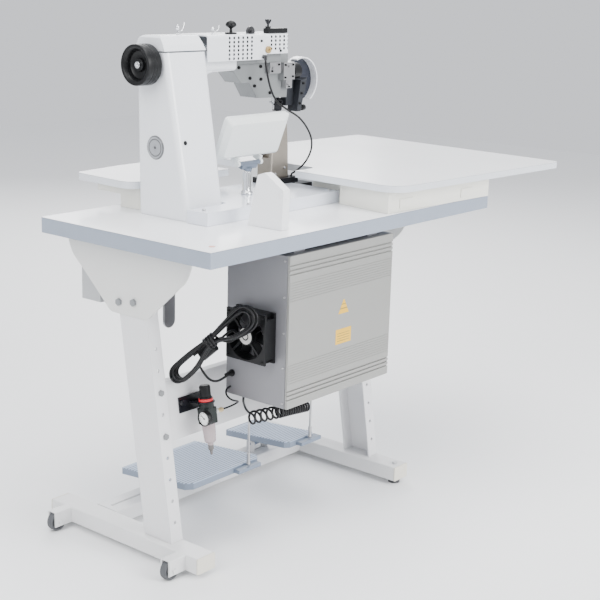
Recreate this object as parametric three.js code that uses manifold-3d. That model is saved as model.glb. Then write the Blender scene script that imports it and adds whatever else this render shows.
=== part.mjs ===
// Leather sewing machine on its stand: a post-bed head with a tapered column, a control box and an
// air regulator below the table, two treadles and two raised extension boards.
// Millimetres, +Z up. X runs along the table (+X is the operator's right), -Y is the operator's side.
import * as THREE from 'three';
import Module from 'manifold-3d';
import { mergeVertices } from 'three/addons/utils/BufferGeometryUtils.js';

const wasm = await Module();
wasm.setup();

// ---------------------------------------------------------------- driving dimensions
const GAP = 0.3; // clearance between touching pieces
const ORIGIN = { x: -146.36, y: -48.989 }; // centre of the footprint, seen from the table's centre

const TABLE = { length: 1100, depth: 550, thick: 37, top: 800 };
const TABLE_BOTTOM = TABLE.top - TABLE.thick;
const FOOT = { width: 60, height: 40, clear: 13, front: -328, back: 190 };
const FOOT_TOP = FOOT.clear + FOOT.height;
const LEG = { width: 38, depth: 90, wall: 4, lean: 0.156, top: 700, front: -4 };
const STAND = { right: 475, left: -345 }; // outer faces of the two legs
const HOLES = { first: 100, pitch: 52, count: 9, radius: 4.5, bolts: [4, 6] };
const BEAM = { bottom: 290, height: 142, depth: 20, wall: 4 };
const WHEEL = { radius: 25, width: 18, x: 530 };
const RIG = { width: 30, end: 545, back: 135.5, front: -265.5 };
const RAIL = { front: -224, back: -150, bottom: 15, pivotY: -187, pivotZ: 76 };
const BOX = { x0: -110, x1: 290, y0: 85, y1: 275, z0: 388, z1: 752 };
const FAN = { size: 120, thick: 38, y: 178, z: 554 };
const REGULATOR = { x: 350, reach: 44 };
const BED = { z: TABLE.top + 31, x0: -142, x1: 352, y0: -160, y1: 76 };
const COLUMN = { x0: 218, x1: 345, bottomFront: -160, bottomBack: 8, topFront: -168, topBack: -69, top: 1187 };
const ARM = { axisY: -117, axisZ: 1157, end: 84, under: 1133 };
const HOOD = { x0: -90, x1: 206, y0: -168, y1: -66, z0: 1160, z1: 1223, wall: 3 };
const NEEDLE = { x: -100, y: -122, tip: 1019, radius: 3.6 };
const POST = { near: -100, far: -150, plate: 1008 };
const PANEL = { x0: -43, x1: 186, height: 112, thick: 26, tilt: 21, baseY: -42, baseZ: 919 };
const BOARD = { bottom: 856, thick: 18 };
const RIGHT_BOARD = { turn: 3.2, x: -76, y: 302, width: 732, depth: 744 };
const CORD = { mains: 6, hose: 6, head: 5 };
const HANK = { lower: 24, upper: 34, tieAt: 143, tieOff: -12, tieHalf: 19, half: 14 };

// ---------------------------------------------------------------- materials
const paint = (color, roughness = 0.5, metalness = 0.0) => ({ color, roughness, metalness });
const FINISH = {
  white: paint(0xf1f2f4, 0.45),
  laminate: paint(0xf4f5f6, 0.35),
  frame: paint(0xe9e9e6, 0.5),
  castGrey: paint(0x9aa3a6, 0.5),
  aluminium: paint(0xb4b6b7, 0.38, 0.9),
  steel: paint(0xc9ccd0, 0.28, 0.95),
  black: paint(0x16171a, 0.5),
  darkGrey: paint(0x4a505a, 0.5),
  treadle: paint(0x8a98ad, 0.6),
  clear: paint(0xdcdedf, 0.15),
  cream: paint(0xe9e8dd, 0.55),
};

// ---------------------------------------------------------------- solids
const machine = new THREE.Group();
machine.position.set(-ORIGIN.x, -ORIGIN.y, 0);

function node(name, geometry, finish, parent = machine) {
  const mesh = new THREE.Mesh(geometry, new THREE.MeshStandardMaterial(finish));
  mesh.name = name;
  parent.add(mesh);
  return mesh;
}

function toSolid(geometry) {
  const bare = geometry.clone();
  bare.deleteAttribute('normal');
  bare.deleteAttribute('uv');
  const merged = mergeVertices(bare, 1e-4);
  return new wasm.Manifold(new wasm.Mesh({
    numProp: 3,
    vertProperties: new Float32Array(merged.attributes.position.array),
    triVerts: new Uint32Array(merged.index.array),
  }));
}

function toGeometry(solid) {
  const mesh = solid.getMesh();
  const geometry = new THREE.BufferGeometry();
  geometry.setAttribute('position', new THREE.BufferAttribute(new Float32Array(mesh.vertProperties), 3));
  geometry.setIndex(new THREE.BufferAttribute(new Uint32Array(mesh.triVerts), 1));
  geometry.computeVertexNormals();
  return geometry;
}

function join(first, ...rest) {
  return toGeometry(rest.reduce((sum, piece) => sum.add(toSolid(piece)), toSolid(first)));
}

function cut(body, ...tools) {
  return toGeometry(tools.reduce((left, tool) => left.subtract(toSolid(tool)), toSolid(body)));
}

function common(first, second) {
  return toGeometry(toSolid(first).intersect(toSolid(second)));
}

function box(x0, x1, y0, y1, z0, z1) {
  const geometry = new THREE.BoxGeometry(x1 - x0, y1 - y0, z1 - z0);
  return geometry.translate((x0 + x1) / 2, (y0 + y1) / 2, (z0 + z1) / 2);
}

function outline(points) {
  return new THREE.Shape(points.map(([u, v]) => new THREE.Vector2(u, v)));
}

// A rectangle from (u0, v0) to (u1, v1) with its corners rounded by r.
function roundRect(u0, v0, u1, v1, r) {
  const shape = new THREE.Shape();
  shape.moveTo(u0 + r, v0);
  shape.lineTo(u1 - r, v0);
  shape.absarc(u1 - r, v0 + r, r, -Math.PI / 2, 0);
  shape.lineTo(u1, v1 - r);
  shape.absarc(u1 - r, v1 - r, r, 0, Math.PI / 2);
  shape.lineTo(u0 + r, v1);
  shape.absarc(u0 + r, v1 - r, r, Math.PI / 2, Math.PI);
  shape.lineTo(u0, v0 + r);
  shape.absarc(u0 + r, v0 + r, r, Math.PI, Math.PI * 1.5);
  return shape;
}

// Prisms: a shape drawn in XY, YZ or XZ and drawn out along the third axis.
function prismZ(shape, z0, z1, curveSegments = 4) {
  const geometry = new THREE.ExtrudeGeometry(shape, { depth: z1 - z0, bevelEnabled: false, curveSegments });
  return geometry.translate(0, 0, z0);
}

function prismX(shape, x0, x1, curveSegments = 4) {
  const geometry = new THREE.ExtrudeGeometry(shape, { depth: x1 - x0, bevelEnabled: false, curveSegments });
  const turn = new THREE.Matrix4().set(0, 0, 1, x0, 1, 0, 0, 0, 0, 1, 0, 0, 0, 0, 0, 1);
  return geometry.applyMatrix4(turn);
}

function prismY(shape, y0, y1, curveSegments = 4) {
  const geometry = new THREE.ExtrudeGeometry(shape, { depth: y1 - y0, bevelEnabled: false, curveSegments });
  const turn = new THREE.Matrix4().set(1, 0, 0, 0, 0, 0, -1, y1, 0, 1, 0, 0, 0, 0, 0, 1);
  return geometry.applyMatrix4(turn);
}

function cylinder(axis, radius, length, centre, sides = 20) {
  const geometry = new THREE.CylinderGeometry(radius, radius, length, sides);
  if (axis === 'x') geometry.rotateZ(-Math.PI / 2);
  if (axis === 'z') geometry.rotateX(Math.PI / 2);
  return geometry.translate(...centre);
}

// A turned piece: profile points are [radius, distance along the axis].
function turned(axis, profile, centre, sides = 24) {
  const points = profile.map(([r, s]) => new THREE.Vector2(r, s));
  const geometry = new THREE.LatheGeometry(points, sides);
  if (axis === 'x') geometry.rotateZ(-Math.PI / 2);
  if (axis === 'z') geometry.rotateX(Math.PI / 2);
  return geometry.translate(...centre);
}

function cable(points, diameter, steps, sides = 8) {
  const path = new THREE.CatmullRomCurve3(points.map((p) => new THREE.Vector3(...p)), false, 'centripetal');
  const settings = { steps, bevelEnabled: false, extrudePath: path };
  return new THREE.ExtrudeGeometry(ring(diameter / 2, sides), settings);
}

function ring(radius, sides) {
  const angles = Array.from({ length: sides }, (_, k) => (k * 2 * Math.PI) / sides);
  return outline(angles.map((angle) => [radius * Math.cos(angle), radius * Math.sin(angle)]));
}

// A solid through rounded rectangles: each section is { at, a0, a1, b0, b1, r }, stacked along Z.
function loft(sections, arcSteps = 4) {
  const loop = ({ a0, a1, b0, b1, r }) => {
    const corners = [[a1 - r, b1 - r, 0], [a0 + r, b1 - r, 1], [a0 + r, b0 + r, 2], [a1 - r, b0 + r, 3]];
    return corners.flatMap(([u, v, quarter]) => Array.from({ length: arcSteps + 1 }, (_, k) => {
      const angle = ((quarter + k / arcSteps) * Math.PI) / 2;
      return [u + r * Math.cos(angle), v + r * Math.sin(angle)];
    }));
  };
  const loops = sections.map(loop);
  const count = loops[0].length;
  const positions = loops.flatMap((points, level) => points.flatMap(([u, v]) => [u, v, sections[level].at]));
  const faces = [];
  for (let level = 0; level + 1 < loops.length; level += 1) {
    for (let k = 0; k < count; k += 1) {
      const a = level * count + k;
      const b = level * count + ((k + 1) % count);
      faces.push(a, b, b + count, a, b + count, a + count);
    }
  }
  const last = (loops.length - 1) * count;
  for (let k = 1; k + 1 < count; k += 1) {
    faces.push(0, k + 1, k);
    faces.push(last, last + k, last + k + 1);
  }
  const geometry = new THREE.BufferGeometry();
  geometry.setAttribute('position', new THREE.Float32BufferAttribute(positions, 3));
  geometry.setIndex(faces);
  geometry.computeVertexNormals();
  return geometry;
}

const lean = (z) => -LEG.lean * (z - FOOT_TOP); // how far the stand leans to the front at height z

// ---------------------------------------------------------------- table
function buildTable() {
  const { length, depth, top } = TABLE;
  const slab = prismZ(roundRect(-length / 2, -depth / 2, length / 2, depth / 2, 3), TABLE_BOTTOM, top, 2);
  const opening = box(-60, 300, -140, 0, TABLE_BOTTOM - 1, top + 1);
  node('table_top', cut(slab, opening), FINISH.laminate);
}

// ---------------------------------------------------------------- stand
function footTube(x) {
  const tube = (inset, y0, y1) => prismY(
    roundRect(x - FOOT.width / 2 + inset, FOOT.clear + inset, x + FOOT.width / 2 - inset, FOOT_TOP - inset, 4),
    y0, y1, 2,
  );
  const cap = 3.5;
  return join(
    tube(0, FOOT.front + cap, FOOT.back - cap),
    tube(1.2, FOOT.front + 1, FOOT.back - 1),
    tube(0, FOOT.front, FOOT.front + cap - 0.7),
    tube(0, FOOT.back - cap + 0.7, FOOT.back),
  );
}

function casterArm(y) {
  const half = RIG.width / 2;
  const arm = prismX(roundRect(y - half, FOOT.clear, y + half, FOOT_TOP, 3), STAND.right + 5, RIG.end, 2);
  const slot = box(WHEEL.x - 27, RIG.end + 1, y - 10, y + 10, 0, FOOT_TOP - 2.2);
  const axle = cylinder('y', 4.8, RIG.width - 2, [WHEEL.x, y, WHEEL.radius], 16);
  const nut = cylinder('y', 6, 4, [WHEEL.x, y + half + 1.5, WHEEL.radius], 6);
  return join(cut(arm, slot), axle, nut);
}

function levellingFoot(x, y) {
  return join(
    cylinder('z', 16, 7, [x, y, 3.5], 20),
    cylinder('z', 6, 8, [x, y, 10], 12),
    cylinder('z', 8, 6, [x, y, FOOT_TOP + 2.9], 6),
  );
}

function buildFeet() {
  const right = STAND.right - LEG.width / 2 + 8;
  const left = STAND.left + LEG.width / 2 + 9;
  node('foot_right', join(footTube(right), casterArm(RIG.back), casterArm(RIG.front)), FINISH.frame);
  const pads = [FOOT.back - 22, FOOT.front + 22].map((y) => levellingFoot(left, y));
  node('foot_left', join(footTube(left), ...pads), FINISH.frame);
}

function buildCasters() {
  const { radius, width, x } = WHEEL;
  const half = width / 2;
  const profile = [
    [5.4, -half], [13, -half], [14, -half + 2], [18, -half + 2], [19, -half], [23, -half],
    [radius, -half + 3], [radius, half - 3], [23, half], [19, half], [18, half - 2], [14, half - 2],
    [13, half], [5.4, half], [5.4, -half],
  ];
  node('caster_back', turned('y', profile, [x, RIG.back, radius], 20), FINISH.darkGrey);
  node('caster_front', turned('y', profile, [x, RIG.front, radius], 20), FINISH.darkGrey);
}

// A leaning channel, its web outside and its flanges turned in, drilled up the back flange.
function legChannel(outer, side) {
  const z0 = FOOT_TOP + GAP;
  const slice = (inset) => outline([
    [LEG.front + inset + lean(z0), z0], [LEG.front + LEG.depth - inset + lean(z0), z0],
    [LEG.front + LEG.depth - inset + lean(LEG.top), LEG.top], [LEG.front + inset + lean(LEG.top), LEG.top],
  ]);
  const span = (from, to) => [outer - side * from, outer - side * to].sort((a, b) => a - b);
  const body = prismX(slice(0), ...span(0, LEG.width));
  const pocket = prismX(slice(LEG.wall), ...span(LEG.wall, LEG.width + 1));
  const x = outer - side * LEG.width / 2;
  const heights = Array.from({ length: HOLES.count }, (_, k) => HOLES.first + HOLES.pitch * k);
  const back = (z) => LEG.front + LEG.depth + lean(z);
  const holes = heights.filter((_, k) => !HOLES.bolts.includes(k))
    .map((z) => cylinder('y', HOLES.radius, 16, [x, back(z), z], 8));
  const bolts = HOLES.bolts.map((k) => cylinder('y', 8, 7, [x, back(heights[k]) + 1.5, heights[k]], 6));
  return join(cut(body, pocket, ...holes), ...bolts);
}

// The shoulder plate: wide under the table and narrowing down to the leg.
function shoulderPlate(outer, side) {
  const plate = new THREE.Shape();
  plate.moveTo(-264, TABLE_BOTTOM - GAP);
  plate.quadraticCurveTo(-262, 728, -243, 704);
  plate.lineTo(-206, 672);
  plate.lineTo(-126, 599);
  plate.quadraticCurveTo(-117, 588, -106, 587);
  plate.lineTo(6, 588);
  plate.quadraticCurveTo(16, 592, 22, 600);
  plate.lineTo(127, 694);
  plate.quadraticCurveTo(151, 722, 153, TABLE_BOTTOM - GAP);
  const span = (from, to) => [outer + side * from, outer + side * to].sort((a, b) => a - b);
  const web = prismX(plate, ...span(GAP, 4.3), 5);
  const flange = box(...span(4.2, -30), -255, 145, TABLE_BOTTOM - 4, TABLE_BOTTOM - GAP);
  const bolts = [[-83, 616], [-34, 623]].map(([y, z]) => cylinder('x', 9, 7, [outer + side * 7.2, y, z], 6));
  return join(web, flange, ...bolts);
}

function buildLegs() {
  node('leg_right', legChannel(STAND.right, 1), FINISH.frame);
  node('leg_left', legChannel(STAND.left, -1), FINISH.frame);
  node('shoulder_right', shoulderPlate(STAND.right, 1), FINISH.frame);
  node('shoulder_left', shoulderPlate(STAND.left, -1), FINISH.frame);
}

// The cross beam is a channel that leans with the legs, behind their back flanges.
function buildBeam() {
  const back = (z) => LEG.front + LEG.depth - LEG.wall - GAP + lean(z);
  const { bottom, height, depth, wall } = BEAM;
  const top = bottom + height;
  const profile = outline([
    [back(bottom), bottom], [back(top), top], [back(top) - depth, top], [back(top) - depth, top - wall],
    [back(top) - wall, top - wall], [back(bottom) - wall, bottom + wall], [back(bottom) - depth, bottom + wall],
    [back(bottom) - depth, bottom],
  ]);
  node('cross_beam', prismX(profile, STAND.left + LEG.wall + 1, STAND.right - LEG.wall - 1), FINISH.frame);
}

// The treadle rail lies between the feet, slotted along its top, with two pairs of pivot lugs.
const TREADLE = {
  large: { x0: 46, x1: 318, y0: -254, y1: -10, chamfer: 16, rodX: 112 },
  small: { x0: -200, x1: -80, y0: -254, y1: -26, chamfer: 12, rodX: -160 },
};

function buildRail() {
  const left = STAND.left + LEG.width / 2 + 9 + FOOT.width / 2 + GAP;
  const right = STAND.right - LEG.width / 2 + 8 - FOOT.width / 2 - GAP;
  const { front, back, bottom, pivotY, pivotZ } = RAIL;
  const body = prismX(roundRect(front, bottom, back, FOOT_TOP, 3), left, right, 2);
  const slot = box(left + 16, right - 16, pivotY - 4, pivotY + 4, FOOT_TOP - 8, FOOT_TOP + 1);
  const lugs = Object.values(TREADLE).flatMap(({ x0, x1 }) => [x0 + 30, x1 - 30].map((x) => cut(
    prismX(roundRect(pivotY - 13, FOOT_TOP - 2, pivotY + 13, pivotZ + 9, 6), x - 3, x + 3, 3),
    cylinder('x', 4.4, 10, [x, pivotY, pivotZ], 12),
  )));
  node('treadle_rail', join(cut(body, slot), ...lugs), FINISH.frame);
}

// A treadle: a ribbed plate rising to the back, on a pivot tube, with a rod clamp on its back edge.
function treadle({ x0, x1, y0, y1, chamfer, rodX }) {
  const rise = 0.085;
  const top = (y) => 109 + rise * (y - y0);
  const pitch = 10.5;
  const count = Math.floor((y1 - y0 - 12) / pitch);
  const ribs = Array.from({ length: count }, (_, k) => y1 - 6 - k * pitch).flatMap((y) => [
    [y, top(y)], [y - 5.5, top(y)], [y - 6.3, top(y) - 1.8], [y - 9.7, top(y) - 1.8],
  ]);
  const profile = outline([[y1, top(y1) - 18], [y1, top(y1)], ...ribs, [y0, top(y0)], [y0, top(y0) - 18]]);
  const plan = outline([
    [x0, y0], [x1, y0], [x1, y1 - chamfer], [x1 - chamfer, y1], [x0 + chamfer, y1], [x0, y1 - chamfer],
  ]);
  const plate = common(prismX(profile, x0, x1), prismZ(plan, 60, 160));
  const { pivotY, pivotZ } = RAIL;
  const tube = cylinder('x', 8, x1 - x0 - 68, [(x0 + x1) / 2, pivotY, pivotZ], 12);
  const pin = cylinder('x', 4, x1 - x0 - 54, [(x0 + x1) / 2, pivotY, pivotZ], 12);
  const webTop = top(pivotY) - 6;
  const webs = [x0 + 48, x1 - 48].map((x) => box(x - 3, x + 3, pivotY - 10, pivotY + 10, pivotZ, webTop));
  const clamp = box(rodX - 42, rodX + 42, y1 - 6, y1 + 20, top(y1) - 16, top(y1) - 6);
  return join(plate, tube, pin, ...webs, clamp);
}

function buildTreadles() {
  node('treadle_large', treadle(TREADLE.large), FINISH.treadle);
  node('treadle_small', treadle(TREADLE.small), FINISH.treadle);
  const sensor = box(-186, 140, -30, 4, 352, 398);
  const mount = box(-180, 134, 0, 25.3, 366, 384);
  const rods = Object.entries(TREADLE).map(([name, { y0, y1, rodX }]) => {
    const y = y1 + 13;
    const foot = 109 + 0.085 * (y1 - y0) - 6 + 1.6;
    return { name, rodX, y, foot };
  });
  const bores = rods.map(({ rodX, y }) => cylinder('z', 4.6, 80, [rodX, y, 375], 12));
  node('treadle_sensor', cut(join(sensor, mount), ...bores), FINISH.darkGrey);
  rods.forEach(({ name, rodX, y, foot }) => {
    const rod = cylinder('z', 3, 266, [rodX, y, foot + 141], 8);
    const ball = new THREE.SphereGeometry(6, 10, 6).translate(rodX, y, foot + 6);
    const collar = cylinder('z', 5, 24, [rodX, y, foot + 22], 8);
    node(`pull_rod_${name}`, join(rod, ball, collar), FINISH.steel);
  });
}

// ---------------------------------------------------------------- under the table
function buildControlBox() {
  const { x0, x1, y0, y1, z0, z1 } = BOX;
  const face = y1 - 7;
  const shell = box(x0, x1, y0, face, z0, z1);
  const hangers = [x0 + 40, x1 - 80].map((x) => box(x, x + 40, y0 + 15, face - 15, z1 - 2, TABLE_BOTTOM - GAP));
  node('control_box', join(shell, ...hangers), FINISH.aluminium);

  // The back panel is an extrusion with deep grooves top and bottom and fine ones between.
  const groove = (z, depth, half) => [
    [y1, z - half], [y1 - depth, z - half], [y1 - depth, z + half], [y1, z + half],
  ];
  const deep = [0, 1, 2].map((k) => k * 10.5);
  const fine = (z) => Array.from({ length: 8 }, (_, k) => groove(z + 6.2 * k, 0.9, 1.1)).flat();
  const profile = [
    [face + GAP, z0], [y1, z0],
    ...deep.flatMap((s) => groove(z0 + 22 + s, 3.2, 1.9)),
    ...fine(z0 + 62), ...fine(z1 - 62 - 43.4),
    ...deep.reverse().flatMap((s) => groove(z1 - 22 - s, 3.2, 1.9)),
    [y1, z1], [face + GAP, z1],
  ];
  node('control_panel', prismX(outline(profile), x0 + 1.5, x1 - 1.5), FINISH.aluminium);
}

function buildFan() {
  const { size, thick, y, z } = FAN;
  const x0 = BOX.x1 + GAP;
  const x1 = x0 + thick;
  const frame = box(x0, x1, y - size / 2, y + size / 2, z - size / 2, z + size / 2);
  const bore = cylinder('x', 56, thick + 4, [x0 + thick / 2, y, z], 36);
  const notch = (dy, dz) => box(x0 + 6, x1 - 6, y + dy - 14, y + dy + 14, z + dz - 14, z + dz + 14);
  const corners = [-62, 62].flatMap((dy) => [-62, 62].map((dz) => notch(dy, dz)));
  const hub = cylinder('x', 22, 9, [x1 - 4.5, y, z], 24);
  const struts = [45, 135, 225, 315].map((angle) => box(x1 - 5, x1 - 1, -2.5, 2.5, 18, 58)
    .applyMatrix4(new THREE.Matrix4().makeRotationX(THREE.MathUtils.degToRad(angle)))
    .translate(0, y, z));
  node('fan_frame', join(cut(frame, bore, ...corners), hub, ...struts), FINISH.black);

  const blade = (k) => box(-11, 11, -1, 1, 16, 52)
    .applyMatrix4(new THREE.Matrix4().makeRotationZ(THREE.MathUtils.degToRad(42)))
    .applyMatrix4(new THREE.Matrix4().makeRotationX((k * 2 * Math.PI) / 7))
    .translate(x0 + 13, y, z);
  const boss = cylinder('x', 20, 20, [x0 + 13, y, z], 24);
  node('fan_rotor', join(boss, ...Array.from({ length: 7 }, (_, k) => blade(k))), FINISH.black);
}

function buildUnderTable() {
  const shell = box(334, 438, -262, -196, 586, TABLE_BOTTOM - GAP);
  const rocker = box(372, 398, -266, -261, 640, 672);
  node('power_switch_box', join(shell, rocker), FINISH.castGrey);
  const strip = new THREE.Shape();
  strip.moveTo(366, TABLE_BOTTOM - GAP);
  strip.lineTo(366, 566);
  strip.absarc(384, 566, 18, Math.PI, Math.PI * 2);
  strip.lineTo(402, TABLE_BOTTOM - GAP);
  const blade = prismY(strip, -18, -13, 5);
  const spine = box(366, 369, -42, -14, 568, TABLE_BOTTOM - GAP);
  node('knee_plate', join(blade, spine), FINISH.steel);
}

// ---------------------------------------------------------------- air regulator
// Built upright about its own axis, then leaned with the cross beam.
function buildRegulator() {
  const unit = new THREE.Group();
  const mid = BEAM.bottom + BEAM.height / 2;
  const back = LEG.front + LEG.depth - LEG.wall - GAP + lean(mid);
  unit.position.set(REGULATOR.x, back, mid);
  unit.rotation.x = Math.atan(LEG.lean);
  machine.add(unit);
  const w = REGULATOR.reach;

  const plate = box(-24, 50, 0.4, 4, -12, 26);
  const arm = box(-16, 16, 3.5, w - 14, 6.2, 9.8);
  const ringPlate = cut(cylinder('z', 21, 3.6, [0, w, 8], 24), cylinder('z', 12.3, 8, [0, w, 8], 24));
  const screw = cylinder('y', 7, 10, [42, 8, 12], 12);
  node('regulator_bracket', join(plate, arm, ringPlate, screw), FINISH.black, unit);

  const fitting = [[0, 0], [7, 0], [7, 9], [5, 10], [5, 20], [6, 21], [6, 27], [4.5, 28], [0, 28]];
  const body = join(
    cylinder('z', 11.8, 16, [0, w, 9], 20),
    cylinder('z', 17.6, 6.4, [0, w, 13.6], 24),
    turned('x', fitting.map(([r, s]) => [r, -s]).reverse(), [-28, w - 4, -24], 16),
    cylinder('z', 18, 14, [0, w, -1], 24),
    prismZ(roundRect(-18, w - 18, 18, w + 18, 6), -44, -6, 3),
    cylinder('x', 6, 14, [-22, w - 4, -24], 12),
  );
  node('regulator_body', body, FINISH.black, unit);
  const knob = [[0, 17.3], [15.5, 17.3], [15.5, 20], [13.6, 22], [13.6, 46], [12, 49], [0, 49]];
  node('regulator_knob', turned('z', knob, [0, w, 0], 28), FINISH.black, unit);

  const gauge = [[0, 18.4], [17, 18.4], [18.5, 20], [18.5, 32], [16.8, 33], [16.2, 30.8], [0, 30.8]];
  node('regulator_gauge', turned('x', gauge, [0, w + 17, -25], 24), FINISH.black, unit);
  const bowl = [[0, -122], [2.5, -122], [4, -112], [7, -108], [7, -92], [10, -92], [14, -88], [16, -60],
    [16, -44.3], [0, -44.3]];
  node('regulator_bowl', turned('z', bowl, [0, w, 0], 24), FINISH.clear, unit);
}

// ---------------------------------------------------------------- sewing head
function buildCasting() {
  const { x0, x1, bottomFront, bottomBack, topFront, topBack, top } = COLUMN;
  const z0 = TABLE.top + GAP;
  const level = (at) => {
    const t = (at - z0) / (top - z0);
    const mix = (a, b) => a + (b - a) * t;
    const depth = { b0: mix(bottomFront, topFront), b1: mix(bottomBack, topBack) };
    return { at, a0: mix(x0, x0 - 11), a1: x1, ...depth, r: 13 };
  };
  const column = loft([level(z0), level(top)]);
  const arm = prismX(roundRect(-152, ARM.under, -84, 1196, 14), ARM.end, x0 - 11.5, 4);
  const root = prismX(roundRect(-151, ARM.under + 1, -85, top - 1, 12), x0 - 30, x0 + 20, 4);
  const corner = x0 - 9;
  const throat = new THREE.Shape();
  throat.moveTo(corner + 12, ARM.under + 4);
  throat.lineTo(corner - 42, ARM.under + 4);
  throat.lineTo(corner - 42, ARM.under);
  throat.absarc(corner - 42, ARM.under - 42, 42, Math.PI / 2, 0, true);
  throat.lineTo(corner + 12, ARM.under - 42);
  const web = prismY(throat, -146, -88, 8);
  const cap = turned('x', [[0, -4], [28, -4], [28, 1], [26, 3], [23, 3], [21.5, 1.6], [19, 1.6], [17.5, 3],
    [8, 3], [7, 1.8], [0, 1.8]], [x1, -101, 964], 24);
  const boss = cylinder('x', 17, 12, [x1 + 2, ARM.axisY, ARM.axisZ], 24);
  const bearing = cylinder('x', 9.4, 60, [x1 + 10, ARM.axisY, ARM.axisZ], 16);
  node('column_casting', cut(join(column, arm, root, web, cap, boss), bearing), FINISH.white);
}

function buildLid() {
  const front = outline([[345, 1187.3], [345, 1218], [340, 1223], [217, 1223], [207.3, 1187.3]]);
  const side = new THREE.Shape();
  side.moveTo(-70.5, 1187.3);
  side.lineTo(-76, 1203);
  side.lineTo(-87, 1221);
  side.quadraticCurveTo(-88, 1223, -92, 1223);
  side.lineTo(-142, 1223);
  side.quadraticCurveTo(-164, 1221, -167.5, 1187.3);
  node('arm_lid', common(prismY(front, -180, -50), prismX(side, 200, 350, 5)), FINISH.white);
}

// The hood is a folded sheet cover round the arm, open below, drilled for air in two fields.
function buildHood() {
  const { x0, x1, y0, y1, z0, z1, wall } = HOOD;
  const shell = prismX(roundRect(y0, z0 - 20, y1, z1, 7), x0, x1, 3);
  const hollow = prismX(roundRect(y0 + wall, z0 - 40, y1 - wall, z1 - wall, 5), x0 + wall, x1 + 1, 3);
  const lower = box(x0 - 5, x1 + 5, y0 - 5, y1 + 5, z0 - 30, z0);
  const step = box(x0 - 5, -8, y0 - 5, y1 + 5, z0 - 1, z0 + 13);
  const field = (left, columns, rows, high) => Array.from({ length: columns * rows }, (_, k) => {
    const x = left - 16.2 * (k % columns);
    const z = high - 9.9 * Math.floor(k / columns);
    return cylinder('y', 2.5, wall + 4, [x, y1 - wall / 2, z], 6);
  });
  const holes = [...field(130, 6, 6, 1215), ...field(-25, 5, 4, 1215.5)];
  const eye = cut(
    cylinder('y', 9, 6, [-10, y1 + 2.6, 1184], 16),
    cylinder('y', 3.4, 3, [-10, y1 + 4.6, 1184], 10),
  );
  const clip = join(
    cylinder('y', 5, 10, [6, y1 + 4.6, 1167], 12),
    cylinder('z', 4, 10, [6, y1 + 8, 1164], 10),
  );
  const winder = common(
    join(cylinder('y', 14, 5, [40, -80, z1 + 4.5], 20), cylinder('y', 5, 14, [40, -78, z1 + 5.5], 10)),
    box(0, 100, -140, -60, z1 - 1, z1 + 40),
  );
  node('arm_hood', join(cut(shell, hollow, lower, step, ...holes), eye, clip, winder), FINISH.white);
}

function buildHandwheel() {
  const { axisY, axisZ } = ARM;
  const profile = [
    [0, -21], [8.6, -21], [8.6, 8], [20, 8], [20, 16], [40, 16], [44, 6], [46, 6], [48, 9], [48, 45],
    [46, 48], [42, 48], [36, 44], [31, 30], [17, 26], [15, 34], [9, 35], [9, 40], [0, 41],
  ];
  node('handwheel', turned('x', profile, [COLUMN.x1 + 3, axisY, axisZ], 30), FINISH.black);
}

// The needle unit hangs from the arm's end; two bars slide in its bores.
function buildNeedleUnit() {
  const side = outline([
    [74, 1155], [81, 1130], [51, 1101], [21, 1101], [-8, 1061], [-126, 1057], [-128, 1085], [-128, 1172],
    [-10, 1172], [-10, 1155],
  ]);
  const lower = prismY(side, -154, -98);
  const upper = box(-84, 83.6, -156, -84, 1150, 1206);
  const bore = (x, r) => cylinder('z', r, 120, [x, NEEDLE.y, 1105], 16);
  const bores = [bore(NEEDLE.x, 4.3), bore(NEEDLE.x - 18, 5)];
  node('needle_housing', cut(join(lower, upper), ...bores), FINISH.castGrey);

  const { x, y, tip, radius } = NEEDLE;
  const bar = join(
    cylinder('z', radius, 96, [x, y, 1096], 16),
    cylinder('z', 4.6, 14, [x, y, 1046], 16),
    cylinder('x', 3, 14, [x + 6, y, 1044], 10),
    turned('z', [[0, tip], [0.5, tip + 3], [1, tip + 9], [1, 1042], [0, 1042]], [x, y, 0], 8),
  );
  node('needle_bar', bar, FINISH.steel);

  const px = x - 18;
  const foot = join(
    cylinder('z', 4.2, 110, [px, y, 1103], 16),
    prismX(roundRect(y - 8, 1034, y + 8, 1054, 4), px - 7, px + 7, 3),
    cylinder('y', 3, 26, [px, y + 4, 1044], 10),
    box(px - 3, x + 2, y + 6, y + 10, 1023, 1040),
    box(px - 7, px + 4, y - 6, y + 10, 1023, 1036),
    box(x - 6, x + 9, y + 6, y + 24, 1022.5, 1025.5),
  );
  node('presser_foot', foot, FINISH.black);

  const block = join(
    box(-82, -40, -97.7, -82, 1122, 1150),
    box(-136, -92, -97.7, -80, 1104, 1148),
    box(-128, -104, -97.7, -82, 1082, 1106),
    box(-96, -78, -97.7, -90, 1126, 1146),
    cylinder('y', 4, 8, [-112, -79, 1138], 10),
    cylinder('y', 4, 8, [-112, -81, 1092], 10),
    cylinder('y', 4, 8, [-50, -81, 1136], 10),
  );
  node('guide_block', block, FINISH.aluminium);
}

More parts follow.
